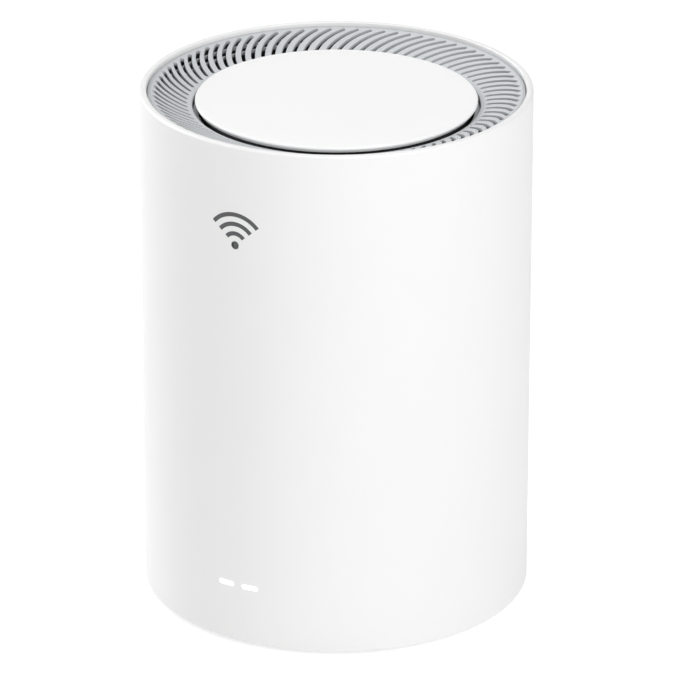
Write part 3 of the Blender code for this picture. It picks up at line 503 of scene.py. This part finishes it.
def rounded_edges(mesh, width, segments=2, angle=40):
    """The mesh with a bevel on each edge that turns by more than the angle, in degrees."""

    def add(holder):
        modifier = holder.modifiers.new("bevel", "BEVEL")
        modifier.width = width
        modifier.segments = segments
        modifier.limit_method = "ANGLE"
        modifier.angle_limit = math.radians(angle)
        modifier.miter_outer = "MITER_ARC"

    return evaluated_mesh(mesh, add)


def node_mesh(node):
    """A CAD node's mesh with its split corners joined and its flat faces in few, convex pieces."""
    bm = bmesh.new()
    bm.from_mesh(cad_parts[node].data)
    bmesh.ops.remove_doubles(bm, verts=bm.verts, dist=MERGE)
    bmesh.ops.dissolve_limit(
        bm, angle_limit=FLAT_ANGLE, use_dissolve_boundaries=False,
        verts=bm.verts, edges=bm.edges,
    )
    bmesh.ops.connect_verts_concave(bm, faces=bm.faces)
    mesh = bpy.data.meshes.new(node)
    bm.to_mesh(mesh)
    bm.free()
    return mesh


def refine(node, name, look, width, segments=2, body=HOUSING, angle=40):
    """The CAD node again with its edges rounded, in the look of that name."""
    fine = rounded_edges(node_mesh(node), width, segments, angle)
    link_piece(name, fine, look, look, body, node)


def turned(profile, segments):
    """A mesh turned about Z from (radius, height) points. Points on the axis close it."""

    def fill(bm):
        verts = [bm.verts.new((r, 0, z)) for r, z in profile]
        edges = [bm.edges.new(pair) for pair in zip(verts, verts[1:])]
        if profile[0][0] > 0:
            edges.append(bm.edges.new((verts[-1], verts[0])))
        bmesh.ops.spin(
            bm, geom=verts + edges, cent=(0, 0, 0), axis=(0, 0, 1), dvec=(0, 0, 0),
            angle=math.tau, steps=segments, use_merge=True,
        )

    return mesh_from(fill)


def arc(cx, cz, radius, start, end, steps):
    """Points on an arc, angles in degrees, 0 along +X and 90 along +Z."""
    found = []
    for i in range(steps + 1):
        a = math.radians(start + (end - start) * i / steps)
        found.append((cx + radius * math.cos(a), cz + radius * math.sin(a)))
    return found


def rounded(centre, size, radius, steps):
    """The outline of a rectangle with round corners, as (x, z) points."""
    points = []
    for k, (sx, sz) in enumerate(((1, 1), (-1, 1), (-1, -1), (1, -1))):
        cx = centre[0] + sx * (size[0] / 2 - radius)
        cz = centre[1] + sz * (size[1] / 2 - radius)
        points += arc(cx, cz, radius, 90 * k, 90 * (k + 1), steps)
    return points


def prism(outline, start, end):
    """An outline of (x, z) points, drawn out along Y."""

    def fill(bm):
        face = bm.faces.new([bm.verts.new((x, start, z)) for x, z in outline])
        drawn = bmesh.ops.extrude_face_region(bm, geom=[face])["geom"]
        moved = [v for v in drawn if isinstance(v, bmesh.types.BMVert)]
        bmesh.ops.translate(bm, verts=moved, vec=(0, end - start, 0))

    return mesh_from(fill)


def add_box(bm, low, high):
    low, high = Vector(low), Vector(high)
    placed = Matrix.Translation((low + high) / 2) @ Matrix.Diagonal((*(high - low), 1.0))
    bmesh.ops.create_cube(bm, size=1.0, matrix=placed)


def join_rows(bm, rows):
    """Faces between closed rows of the same number of points."""
    for row, following in zip(rows, rows[1:]):
        count = len(row)
        for i in range(count):
            j = (i + 1) % count
            bm.faces.new((row[i], row[j], following[j], following[i]))


def polar(radius, angle, z=0.0):
    return Vector((radius * math.cos(angle), radius * math.sin(angle), z))


def along_y(low, high):
    """Places a shape turned about Z in the box of those corners: foot on low.y, axis on +Y."""
    foot = ((low.x + high.x) / 2, low.y, (low.z + high.z) / 2)
    return Matrix.Translation(foot) @ Z_TO_Y


# ---- the shell ---------------------------------------------------------------------------------
def light_outline(side, grow=0.0):
    """The outline of the left (-1) or the right (1) status light, as (x, z) points."""
    width, height = LIGHT_SIZE
    size = (width + 2 * grow, height + 2 * grow)
    return rounded((side * LIGHT_X, LIGHT_Z), size, size[1] / 2 * LIGHT_ROUND, LIGHT_STEPS)


def make_shell():
    low, high = SLEEVE_FOOT + FOOT_ROUND, TOP - RIM_ROUND
    profile = arc(SLEEVE_R - FOOT_ROUND, low, FOOT_ROUND, -90, 0, 5)
    profile += [(SLEEVE_R, low + (high - low) * i / WALL_ROWS) for i in range(1, WALL_ROWS)]
    profile += arc(SLEEVE_R - RIM_ROUND, high, RIM_ROUND, 0, 90, 8)
    profile += arc(BORE_R + BORE_RIM_ROUND, TOP - BORE_RIM_ROUND, BORE_RIM_ROUND, 90, 180, 5)
    crest_r = BORE_R - INNER_LEDGE_DEPTH
    for middle in INNER_LEDGES:
        profile += [
            (BORE_R, middle + INNER_LEDGE_ROOT),
            (crest_r, middle + INNER_LEDGE_CREST),
            (crest_r, middle - INNER_LEDGE_CREST),
            (BORE_R, middle - INNER_LEDGE_ROOT),
        ]
    profile.append((BORE_R, SLEEVE_FOOT))
    shell = turned(profile, SHELL_STEPS)
    bay_low, bay_high = BAY_Z
    bay_size = (2 * BAY_HALF, bay_high - bay_low)
    window = rounded((0.0, (bay_low + bay_high) / 2), bay_size, BAY_ROUND, 10)
    shell = boolean_mesh(shell, prism(window, *BAY_CUT), "DIFFERENCE")
    shell = rounded_edges(shell, SHELL_EDGE, segments=3, angle=50)
    for side in (-1, 1):
        hole = prism(light_outline(side, LIGHT_GAP), *LIGHT_CUT)
        shell = boolean_mesh(shell, hole, "DIFFERENCE")
    link_piece("shell", shell, "white_shell", "white_shell", HOUSING, "outer_sleeve", sharp=28)


# ---- the louvred ring --------------------------------------------------------------------------
def cone(radius):
    """Height of the ring's upper face at that radius."""
    return TOP - CONE_DROP - (CONE_R - radius) * CONE_SLOPE


def slot_stations():
    """Points along one slot's middle line in plan, each with the unit vector across it."""
    start = polar(SLOT_IN_R + SLOT_WIDTH / 2, SLOT_LEAD).xy
    end = polar(SLOT_OUT_R - SLOT_WIDTH / 2, -SLOT_TRAIL).xy
    chord = end - start
    radius = chord.length_squared / (8 * SLOT_SAG) + SLOT_SAG / 2
    outward = Vector((-chord.y, chord.x)).normalized()
    centre = (start + end) / 2 + outward * (SLOT_SAG - radius)
    half = math.asin(chord.length / 2 / radius)
    middle = math.atan2(outward.y, outward.x)
    stations = []
    for i in range(SLOT_ROWS + 1):
        a = middle + half - 2 * half * i / SLOT_ROWS
        across = Vector((math.cos(a), math.sin(a)))
        stations.append((centre + across * radius, across))
    return stations


def slot_loops(grow):
    """The slot's outline, widened by grow: out on one side, round its end, back and round."""
    stations = slot_stations()
    half = SLOT_WIDTH / 2 + grow

    def end(station, facing):
        middle, across = station
        base = math.atan2(across.y, across.x) + facing
        turns = [base - math.pi * i / SLOT_END_STEPS for i in range(1, SLOT_END_STEPS)]
        return [middle + Vector((math.cos(a), math.sin(a))) * half for a in turns]

    outward = [p + across * half for p, across in stations]
    inward = [p - across * half for p, across in reversed(stations)]
    return outward + end(stations[-1], 0.0) + inward + end(stations[0], math.pi)


def ring_share():
    """The outline of one slot's share of the ring, with a point for each of the slot's.

    Its two curved sides run midway between slots, and its ends are arcs round the ring.
    """
    line = [station[0] for station in slot_stations()]
    side, back = ([Matrix.Rotation(turn, 2) @ p for p in line] for turn in (PITCH / 2, -PITCH / 2))
    for edge in (side, back):
        edge[0] = edge[0].normalized() * SLOT_INNER_RING
        edge[-1] = edge[-1].normalized() * SLOT_OUTER_RING
    turns = [PITCH * i / SLOT_END_STEPS for i in range(1, SLOT_END_STEPS)]
    outer = [Matrix.Rotation(-turn, 2) @ side[-1] for turn in turns]
    inner = [Matrix.Rotation(turn, 2) @ back[0] for turn in turns]
    return side + outer + list(reversed(back)) + inner


def ring_bands():
    """The ring outside and inside its slots, as (radius, height) points from the slots' edge."""
    band = TOP - BAND_DROP
    outer_top, inner_top = cone(SLOT_OUTER_RING), cone(SLOT_INNER_RING)
    outer = [(SLOT_OUTER_RING, outer_top)]
    outer += arc(GRILLE_R - BAND_EDGE, band - BAND_EDGE, BAND_EDGE, 90, 0, 4)
    outer += [(GRILLE_R, GRILLE_FOOT), (SLOT_OUTER_RING, GRILLE_FOOT)]
    outer.append((SLOT_OUTER_RING, outer_top - PLATE))
    lip = LIP_R + LIP_ROUND
    inner = [(SLOT_INNER_RING, inner_top)]
    inner += arc(lip, cone(lip) - LIP_ROUND, LIP_ROUND, 90, 180, 5)
    inner += [(LIP_R, GRILLE_FOOT), (SLOT_INNER_RING, GRILLE_FOOT)]
    inner.append((SLOT_INNER_RING, inner_top - PLATE))
    return outer, inner


def flat_ring(near, far, top, depth):
    """A ring of rectangular section, in two steps for each slot."""
    section = [(near, top), (near, top - depth), (far, top - depth), (far, top)]
    return turned(section, 2 * SLOT_COUNT)


def make_louvre_ring():
    share = ring_share()
    loops = [(share, 0.0)]
    for i in range(SLOT_EDGE_STEPS + 1):
        a = math.pi / 2 * i / SLOT_EDGE_STEPS
        loops.append((slot_loops(SLOT_EDGE * (1 - math.sin(a))), SLOT_EDGE * (1 - math.cos(a))))
    loops += [(slot_loops(0.0), PLATE), (share, PLATE)]
    starts = [math.atan2(share[row].y, share[row].x) for row in (SLOT_ROWS, 0)]
    columns = SLOT_COUNT * SLOT_END_STEPS

    def fill(bm):
        for k in range(SLOT_COUNT):
            turn = Matrix.Rotation(SLOT_PHASE + k * PITCH, 2)
            rows = []
            for points, drop in loops:
                placed = [turn @ p for p in points]
                rows.append([bm.verts.new((p.x, p.y, cone(p.length) - drop)) for p in placed])
            join_rows(bm, rows)
        for band, start in zip(ring_bands(), starts):
            angles = [SLOT_PHASE + start + math.tau * c / columns for c in range(columns)]
            join_rows(bm, [[bm.verts.new(polar(r, a, z)) for a in angles] for r, z in band])

    # The ring's material carries painted shade on its slot walls.
    ring, plastic = mesh_from(fill), "grille_plastic"
    link_piece("louvre_ring", ring, plastic, plastic, HOUSING, "top_grille", sharp=40)
    for k, radius in enumerate(BAR_RADII):
        near, far, top = radius - BAR_HALF, radius + BAR_HALF, cone(radius) - PLATE - BAR_GAP
        bar = rounded_edges(flat_ring(near, far, top, BAR_DEPTH), 0.12 * MM)
        link_piece(f"louvre_bar_{k + 1}", bar, "bar_plastic", plastic, HOUSING)
    ledge = rounded_edges(flat_ring(*LEDGE_RADII, TOP - LEDGE_DROP, LEDGE_DEPTH), 0.1 * MM)
    link_piece("louvre_ledge", ledge, "ledge_plastic", plastic, HOUSING)


# ---- the cap disc ------------------------------------------------------------------------------
def make_disc():
    foot, plate_foot = DISC_FACE - DISC_EDGE, DISC_FACE - DISC_PLATE
    flat = DISC_R - DISC_ROUND
    profile = []
    for i in range(DISC_RINGS):
        share = i / DISC_RINGS
        profile.append((flat * share, DISC_FACE + DISC_CROWN * (1 - share**2)))
    lean = math.degrees(math.atan2(DISC_TAPER, DISC_EDGE - DISC_ROUND))
    profile += arc(flat, DISC_FACE - DISC_ROUND, DISC_ROUND, 90, -lean, 9)
    profile += arc(DISC_R - DISC_TAPER - DISC_LIP, foot + DISC_LIP, DISC_LIP, -lean, -90, 4)
    mouth, floor = DISC_HOLLOW_RADII
    profile += [(mouth, foot), (floor, plate_foot), (0.0, plate_foot)]
    cap = turned(profile, DISC_STEPS)
    link_piece("cap_disc", cap, "white_cap", "white_shell", HOUSING, "top_disc", sharp=38)

    # The skirt is near black: painted shade in the gap round the disc's edge.
    skirt_top, skirt_foot = foot - 0.05 * MM, TOP - DISC_SKIRT_DROP
    near, far = DISC_SKIRT_RADII
    section = [(DISC_SKIRT_R, skirt_top), (far, skirt_foot), (near, skirt_foot), (near, skirt_top)]
    skirt = rounded_edges(turned(section, DISC_STEPS), 0.12 * MM)
    link_piece("cap_disc_skirt", skirt, "skirt_black", "dark_plastic", HOUSING)

    low, high, reach = DISC_LOW.z - 1 * MM, plate_foot - 0.1 * MM, DISC_LEGS_REACH
    inside_skirt = turned([(0.0, low), (reach, low), (reach, high), (0.0, high)], segments=64)
    legs = boolean_mesh(node_mesh("top_disc"), inside_skirt, "INTERSECT")
    legs = rounded_edges(legs, 0.2 * MM)
    link_piece("cap_disc_legs", legs, "white_cap", "white_shell", HOUSING)


# ---- the generic mark: a dot and three arcs ----------------------------------------------------
def add_patch(bm, outline_rows):
    """A thin closed shape on the shell, from rows of (across, up) from the mark's centre."""
    rows = []
    for radius in (SLEEVE_R + MARK_LIFT, SLEEVE_R - MARK_LIFT):
        for row in outline_rows if radius > SLEEVE_R else reversed(outline_rows):
            placed = []
            for across, up in row:
                angle = -math.pi / 2 + across / SLEEVE_R
                placed.append(bm.verts.new(polar(radius, angle, MARK_Z + up)))
            rows.append(placed)
    rows.append(rows[0])
    for row, following in zip(rows, rows[1:]):
        for i in range(len(row) - 1):
            bm.faces.new((row[i], row[i + 1], following[i + 1], following[i]))
    for at in (0, -1):
        bm.faces.new([row[at] for row in rows[:-1]])


def make_mark():
    def fill(bm):
        for radius in MARK_RADII:
            rows = []
            for r in (radius + MARK_LINE / 2, radius - MARK_LINE / 2):
                turns = [MARK_SPREAD * (2 * i / MARK_STEPS - 1) for i in range(MARK_STEPS + 1)]
                rows.append([(r * math.sin(a), MARK_FOOT + r * math.cos(a)) for a in turns])
            add_patch(bm, rows)
        rows = []
        for i in range(-MARK_DOT_ROWS, MARK_DOT_ROWS + 1):
            a = math.pi / 2 * i / MARK_DOT_ROWS * MARK_DOT_REACH
            half, up = MARK_DOT * math.cos(a), MARK_FOOT + MARK_DOT * math.sin(a)
            rows.append([(-half, up), (half, up)])
        add_patch(bm, rows)

    link_piece("front_mark", mesh_from(fill), "mark_ink", "dark_plastic", HOUSING)


# ---- the status lights -------------------------------------------------------------------------
def make_lights():
    def fill(bm):
        for side in (-1, 1):
            rows = []
            outline = light_outline(side)
            centre = Vector((side * LIGHT_X, LIGHT_Z))
            for scale, sink in LENS_ROWS:
                row = []
                for x, z in outline:
                    p = centre + (Vector((x, z)) - centre) * scale
                    front = -math.sqrt((SLEEVE_R - LIGHT_GAP) ** 2 - p.x**2)
                    row.append(bm.verts.new((p.x, front + sink, p.y)))
                rows.append(row)
            back = [bm.verts.new((x, LENS_BACK, z)) for x, z in outline]
            join_rows(bm, [*rows, back])
            bm.faces.new(back)

    link_piece("light_lenses", mesh_from(fill), "light_pipe", "light_pipe", HOUSING)
    keep = mesh_from(lambda bm: add_box(bm, *GUIDE_KEEP))
    guide = boolean_mesh(node_mesh("light_guide"), keep, "INTERSECT")
    guide = rounded_edges(guide, 0.25 * MM)
    link_piece("light_guide_body", guide, "light_pipe", "light_pipe", HOUSING, "light_guide")
    refine("light_board", "light_board_fine", "board_green", 0.1 * MM)
    for side in ("left", "right"):
        refine(f"status_led_{side}", f"status_led_{side}_fine", "led_body", 0.15 * MM)


# ---- the base ----------------------------------------------------------------------------------
def make_base():
    refine("base_cover", "base_shell", "base_plastic", 0.2 * MM)
    for k in range(4):
        node = f"foot_pad_{k + 1}"
        low, high = corners(node)
        radius, height = (high.x - low.x) / 2, high.z - low.z
        dish, dish_edge = (radius * share for share in FOOT_DISH_SHARES)
        profile = [(0.0, FOOT_DISH), (dish, FOOT_DISH), (dish_edge, 0.0)]
        profile += arc(radius - FOOT_EDGE, FOOT_EDGE, FOOT_EDGE, -90, 0, 6)
        profile.append((radius, height - FOOT_TOP_EDGE))
        profile += [(radius - FOOT_TOP_EDGE, height), (0.0, height)]
        pad = turned(profile, segments=64)
        pad.transform(Matrix.Translation(((low.x + high.x) / 2, (low.y + high.y) / 2, low.z)))
        link_piece(f"foot_{k + 1}_fine", pad, "foot_rubber", "foot_rubber", HOUSING, node)


# ---- screws ------------------------------------------------------------------------------------
def make_screw(node, head_r, head_height, shank_r, length, lying=False):
    """A pan-head cross-recess screw with a thread.

    It stands on its head along Z. A lying one is then turned, to point along +Y.
    """
    core_r = shank_r - THREAD_DEPTH
    profile = [(0.0, -head_height)]
    profile += [(head_r * math.sin(a), -head_height * math.cos(a)) for a in HEAD_ANGLES]
    profile += [(head_r, -head_height * HEAD_SIDE), (head_r, 0.0), (shank_r, 0.0)]
    profile.append((shank_r, THREAD_START))
    z = THREAD_START
    while z + THREAD_PITCH < length - shank_r:
        start, near, far = (z + THREAD_PITCH * share for share in THREAD_GROOVE)
        profile += [(shank_r, start), (core_r, near), (core_r, far), (shank_r, z + THREAD_PITCH)]
        z += THREAD_PITCH
    profile += [(core_r, length - shank_r * SCREW_TIP), (0.0, length)]
    screw = turned(profile, segments=28)

    arm, half = head_r * RECESS_ARM, head_r * RECESS_HALF
    quarter = [(arm, -half), (arm, half), (half, half)]
    outline = [Matrix.Rotation(math.pi / 2 * k, 2) @ Vector(p) for k in range(4) for p in quarter]
    cross = prism(outline, head_height - RECESS_DEPTH, head_height + RECESS_CUT)
    cross.transform(Z_TO_Y)
    screw = boolean_mesh(screw, cross, "DIFFERENCE")
    low, high = corners(node)
    middle = (low + high) / 2
    seat = Vector((middle.x, middle.y, low.z + head_height))
    if lying:
        screw.transform(Z_TO_Y)
        seat = Vector((middle.x, low.y + head_height, middle.z))
    screw.transform(Matrix.Translation(seat))
    link_piece(f"{node}_fine", screw, "screw_steel", "screw_steel", HOUSING, node)


def make_screws():
    for k in range(3):
        make_screw(f"carrier_screw_{k + 1}", **CARRIER_SCREW)
    for k in range(4):
        make_screw(f"base_screw_{k + 1}", **BASE_SCREW)
        make_screw(f"board_screw_{k + 1}", **BOARD_SCREW, lying=True)


# ---- the port bay ------------------------------------------------------------------------------
def make_port_bay():
    refine("port_panel", "port_surround", "panel_plastic", 0.22 * MM, 3)
    for jack in ("wan", "lan"):
        make_network_jack(jack)
    refine("power_jack_body", "power_jack_shell", "dark_plastic", 0.2 * MM)
    make_power_contacts()


def make_network_jack(jack):
    refine(f"{jack}_jack_shield", f"{jack}_shield_fine", "tin_plate", 0.09 * MM)
    refine(f"{jack}_jack_insert", f"{jack}_insert_fine", "dark_plastic", 0.12 * MM)
    refine(f"{jack}_jack_contacts", f"{jack}_contacts_fine", "gold_contact", 0.05 * MM, 1)
    low, high = corners(f"{jack}_jack_insert")
    middle = (low.x + high.x) / 2
    width, height = JACK_WINDOW
    back, front = high.y - JACK_WINDOW_DEPTH, high.y + JACK_WINDOW_PROUD

    def fill(bm):
        z = high.z - JACK_WINDOW_DROP
        for side in (-1, 1):
            x = middle + side * JACK_WINDOW_X
            corner = (x - width / 2, back, z - height / 2)
            add_box(bm, corner, (x + width / 2, front, z + height / 2))

    windows = rounded_edges(mesh_from(fill), 0.12 * MM)
    link_piece(f"{jack}_jack_windows", windows, "light_window", "light_pipe", HOUSING)


def make_power_contacts():
    low, high = corners("power_jack_pin")
    radius, length = (high.x - low.x) / 2, high.y - low.y
    place = along_y(low, high)
    tip = radius * PIN_TIP
    profile = [(0.0, 0.0), (radius, 0.0), (radius, length - tip)]
    profile += arc(radius * PIN_FLAT, length - tip, tip, 0, 90, 5)
    pin = turned([*profile, (0.0, length)], segments=40)
    pin.transform(place)
    link_piece("power_pin_fine", pin, "tin_plate", "tin_plate", HOUSING, "power_jack_pin")
    (inner, outer), (start, end) = LINER_RADII, LINER_REACH
    liner = turned([(inner, start), (outer, start), (outer, end), (inner, end)], segments=48)
    liner = rounded_edges(liner, 0.08 * MM)
    liner.transform(place)
    link_piece("power_jack_liner", liner, "tin_plate", "tin_plate", HOUSING)


# ---- the buttons -------------------------------------------------------------------------------
def make_buttons():
    low, high = corners("pairing_button")
    length, flange_r = high.y - low.y, (high.x - low.x) / 2
    flange_top = PANEL_BACK - GAP - low.y
    flange_foot = flange_top - BUTTON_FLANGE
    profile = [(0.0, 0.0), (BUTTON_STEM_R, 0.0), (BUTTON_STEM_R, flange_foot)]
    profile += [(flange_r, flange_foot), (flange_r, flange_top), (BUTTON_R, flange_top)]
    profile += arc(BUTTON_R - BUTTON_EDGE, length - BUTTON_EDGE, BUTTON_EDGE, 0, 90, 6)
    dish_r = BUTTON_R * BUTTON_DISH_SHARE
    for a in BUTTON_DISH_ANGLES:
        profile.append((dish_r * math.cos(a), length - BUTTON_DISH * math.sin(a)))
    profile.append((0.0, length - BUTTON_DISH))
    cap = turned(profile, segments=64)
    cap.transform(along_y(low, high))
    plunger, button = "pairing_plunger", "pairing_button"
    link_piece("pairing_cap", cap, "white_cap", "white_shell", plunger, button, sharp=30)
    for name in ("pairing", "reset"):
        refine(f"{name}_switch_base", f"{name}_switch_fine", "chip_black", 0.15 * MM)
        stem, plunger = f"{name}_switch_stem", f"{name}_plunger"
        refine(stem, f"{name}_stem_fine", "stem_plastic", 0.2 * MM, body=plunger)


# ---- what the shell holds ----------------------------------------------------------------------
def make_inside():
    refine("chassis_frame", "chassis", "frame_plastic", 0.25 * MM)
    refine("disc_carrier", "carrier", "frame_plastic", 0.2 * MM)
    refine("main_board", "board", "board_green", 0.08 * MM, 1)
    refine("heat_sink", "heat_sink_fine", "heat_sink_aluminium", 0.15 * MM)
    refine("radio_shield", "radio_can", "tin_plate", 0.25 * MM, 3)
    for chip in ("soc_chip", "memory_chip", "radio_chip", "ethernet_chip"):
        refine(chip, f"{chip}_fine", "chip_black", 0.1 * MM)
    for k in (1, 2):
        refine(f"network_transformer_{k}", f"transformer_{k}_fine", "chip_black", 0.3 * MM)
    for pad in ("soc_thermal_pad", "radio_thermal_pad"):
        refine(pad, f"{pad}_fine", "thermal_pad", 0.2 * MM)
    refine("bulk_capacitor", "bulk_capacitor_fine", "capacitor_can", 0.12 * MM)
    for k in range(4):
        antenna, cable = f"antenna_{k + 1}", f"antenna_cable_{k + 1}"
        refine(antenna, f"{antenna}_fine", "antenna_board", 0.1 * MM)
        refine(cable, f"{cable}_fine", "cable_black", 0.1 * MM, 1, angle=50)
    refine("light_cable", "light_cable_fine", "cable_black", 0.1 * MM, 1, angle=50)
    make_small_parts()


def make_small_parts():
    """Resistors and capacitors on the main board, kept clear of the bigger parts."""
    low, high = corners("main_board")
    front, clear = low.y, SMALL_PART_CLEARANCE
    taken = []
    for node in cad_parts:
        if node in ("main_board", "outer_sleeve", "chassis_frame", "top_grille", "base_cover"):
            continue
        a, b = corners(node)
        if a.y < front and b.y > front - SMALL_PART_ROOM:
            taken.append((a.x - clear, b.x + clear, a.z - clear, b.z + clear))
    draw = random.Random(7)
    long, short = SMALL_PART_HALF
    margin, room = SMALL_PART_MARGIN, SMALL_PART_ROOM
    outside, inside = front - SMALL_PART_HEIGHT, front + SMALL_PART_SINK

    def fill(bm):
        made = 0
        while made < SMALL_PARTS:
            x = draw.uniform(low.x + margin, high.x - margin)
            z = draw.uniform(low.z + margin, high.z - margin)
            across, up = (long, short) if draw.random() < 0.5 else (short, long)
            if any(x0 < x < x1 and z0 < z < z1 for x0, x1, z0, z1 in taken):
                continue
            taken.append((x - room, x + room, z - room, z + room))
            add_box(bm, (x - across, outside, z - up), (x + across, inside, z + up))
            made += 1

    parts = rounded_edges(mesh_from(fill), 0.06 * MM)
    link_piece("board_small_parts", parts, "ceramic_tan", "chip_black", HOUSING)


# ---- the studio --------------------------------------------------------------------------------
def floor_material():
    """A pale table that glows a little, so that shadows on it stay soft."""
    material = moulded("studio_floor", (0.44, 0.44, 0.44), 0.8, 400.0, 0.001 * MM, 0.01)
    shader = material.node_tree.nodes["Principled BSDF"]
    shader.inputs["Emission Color"].default_value = (1, 1, 1, 1)
    shader.inputs["Emission Strength"].default_value = FLOOR_GLOW
    return material


def make_floor():
    floor_mesh = bpy.data.meshes.new("floor")
    corner_signs = ((-1, -1), (1, -1), (1, 1), (-1, 1))
    floor_corners = [(x * FLOOR_HALF, y * FLOOR_HALF, 0) for x, y in corner_signs]
    floor_mesh.from_pydata(floor_corners, [], [(0, 1, 2, 3)])
    floor_mesh.materials.append(floor_material())
    floor = bpy.data.objects.new("floor", floor_mesh)
    bpy.context.scene.collection.objects.link(floor)


def make_camera():
    camera_data = bpy.data.cameras.new("camera")
    camera_data.lens = LENS
    camera_data.sensor_width = SENSOR
    camera_data.clip_start, camera_data.clip_end = CAMERA_CLIP
    camera = bpy.data.objects.new("camera", camera_data)
    away = polar(math.cos(CAMERA_TILT), CAMERA_TURN - math.pi / 2, math.sin(CAMERA_TILT))
    camera.location = CAMERA_TARGET + away * CAMERA_DISTANCE
    camera.rotation_euler = (math.pi / 2 - CAMERA_TILT, 0, CAMERA_TURN)
    bpy.context.scene.collection.objects.link(camera)
    bpy.context.scene.camera = camera


def add_light(name, height, turn, distance, size, power):
    """A square soft light, aimed at the part, turned to the right of the camera's side."""
    data = bpy.data.lights.new(name, "AREA")
    data.shape = "SQUARE"
    data.size = size
    data.energy = power
    light = bpy.data.objects.new(name, data)
    at = polar(distance, CAMERA_TURN + math.radians(turn) - math.pi / 2, height)
    light.location = at
    light.rotation_euler = (CAMERA_TARGET - at).to_track_quat("-Z", "Y").to_euler()
    bpy.context.scene.collection.objects.link(light)


def make_studio():
    make_floor()
    world = bpy.data.worlds.new("studio")
    world.use_nodes = True
    background = world.node_tree.nodes["Background"]
    background.inputs["Color"].default_value = (1, 1, 1, 1)
    background.inputs["Strength"].default_value = SKY
    bpy.context.scene.world = world
    for light in STUDIO_LIGHTS:
        add_light(*light)
    make_camera()
    bpy.context.scene.view_settings.view_transform = "Standard"


LOOKS = make_looks()
make_shell()
make_louvre_ring()
make_disc()
make_mark()
make_lights()
make_base()
make_screws()
make_port_bay()
make_buttons()
make_inside()
make_studio()
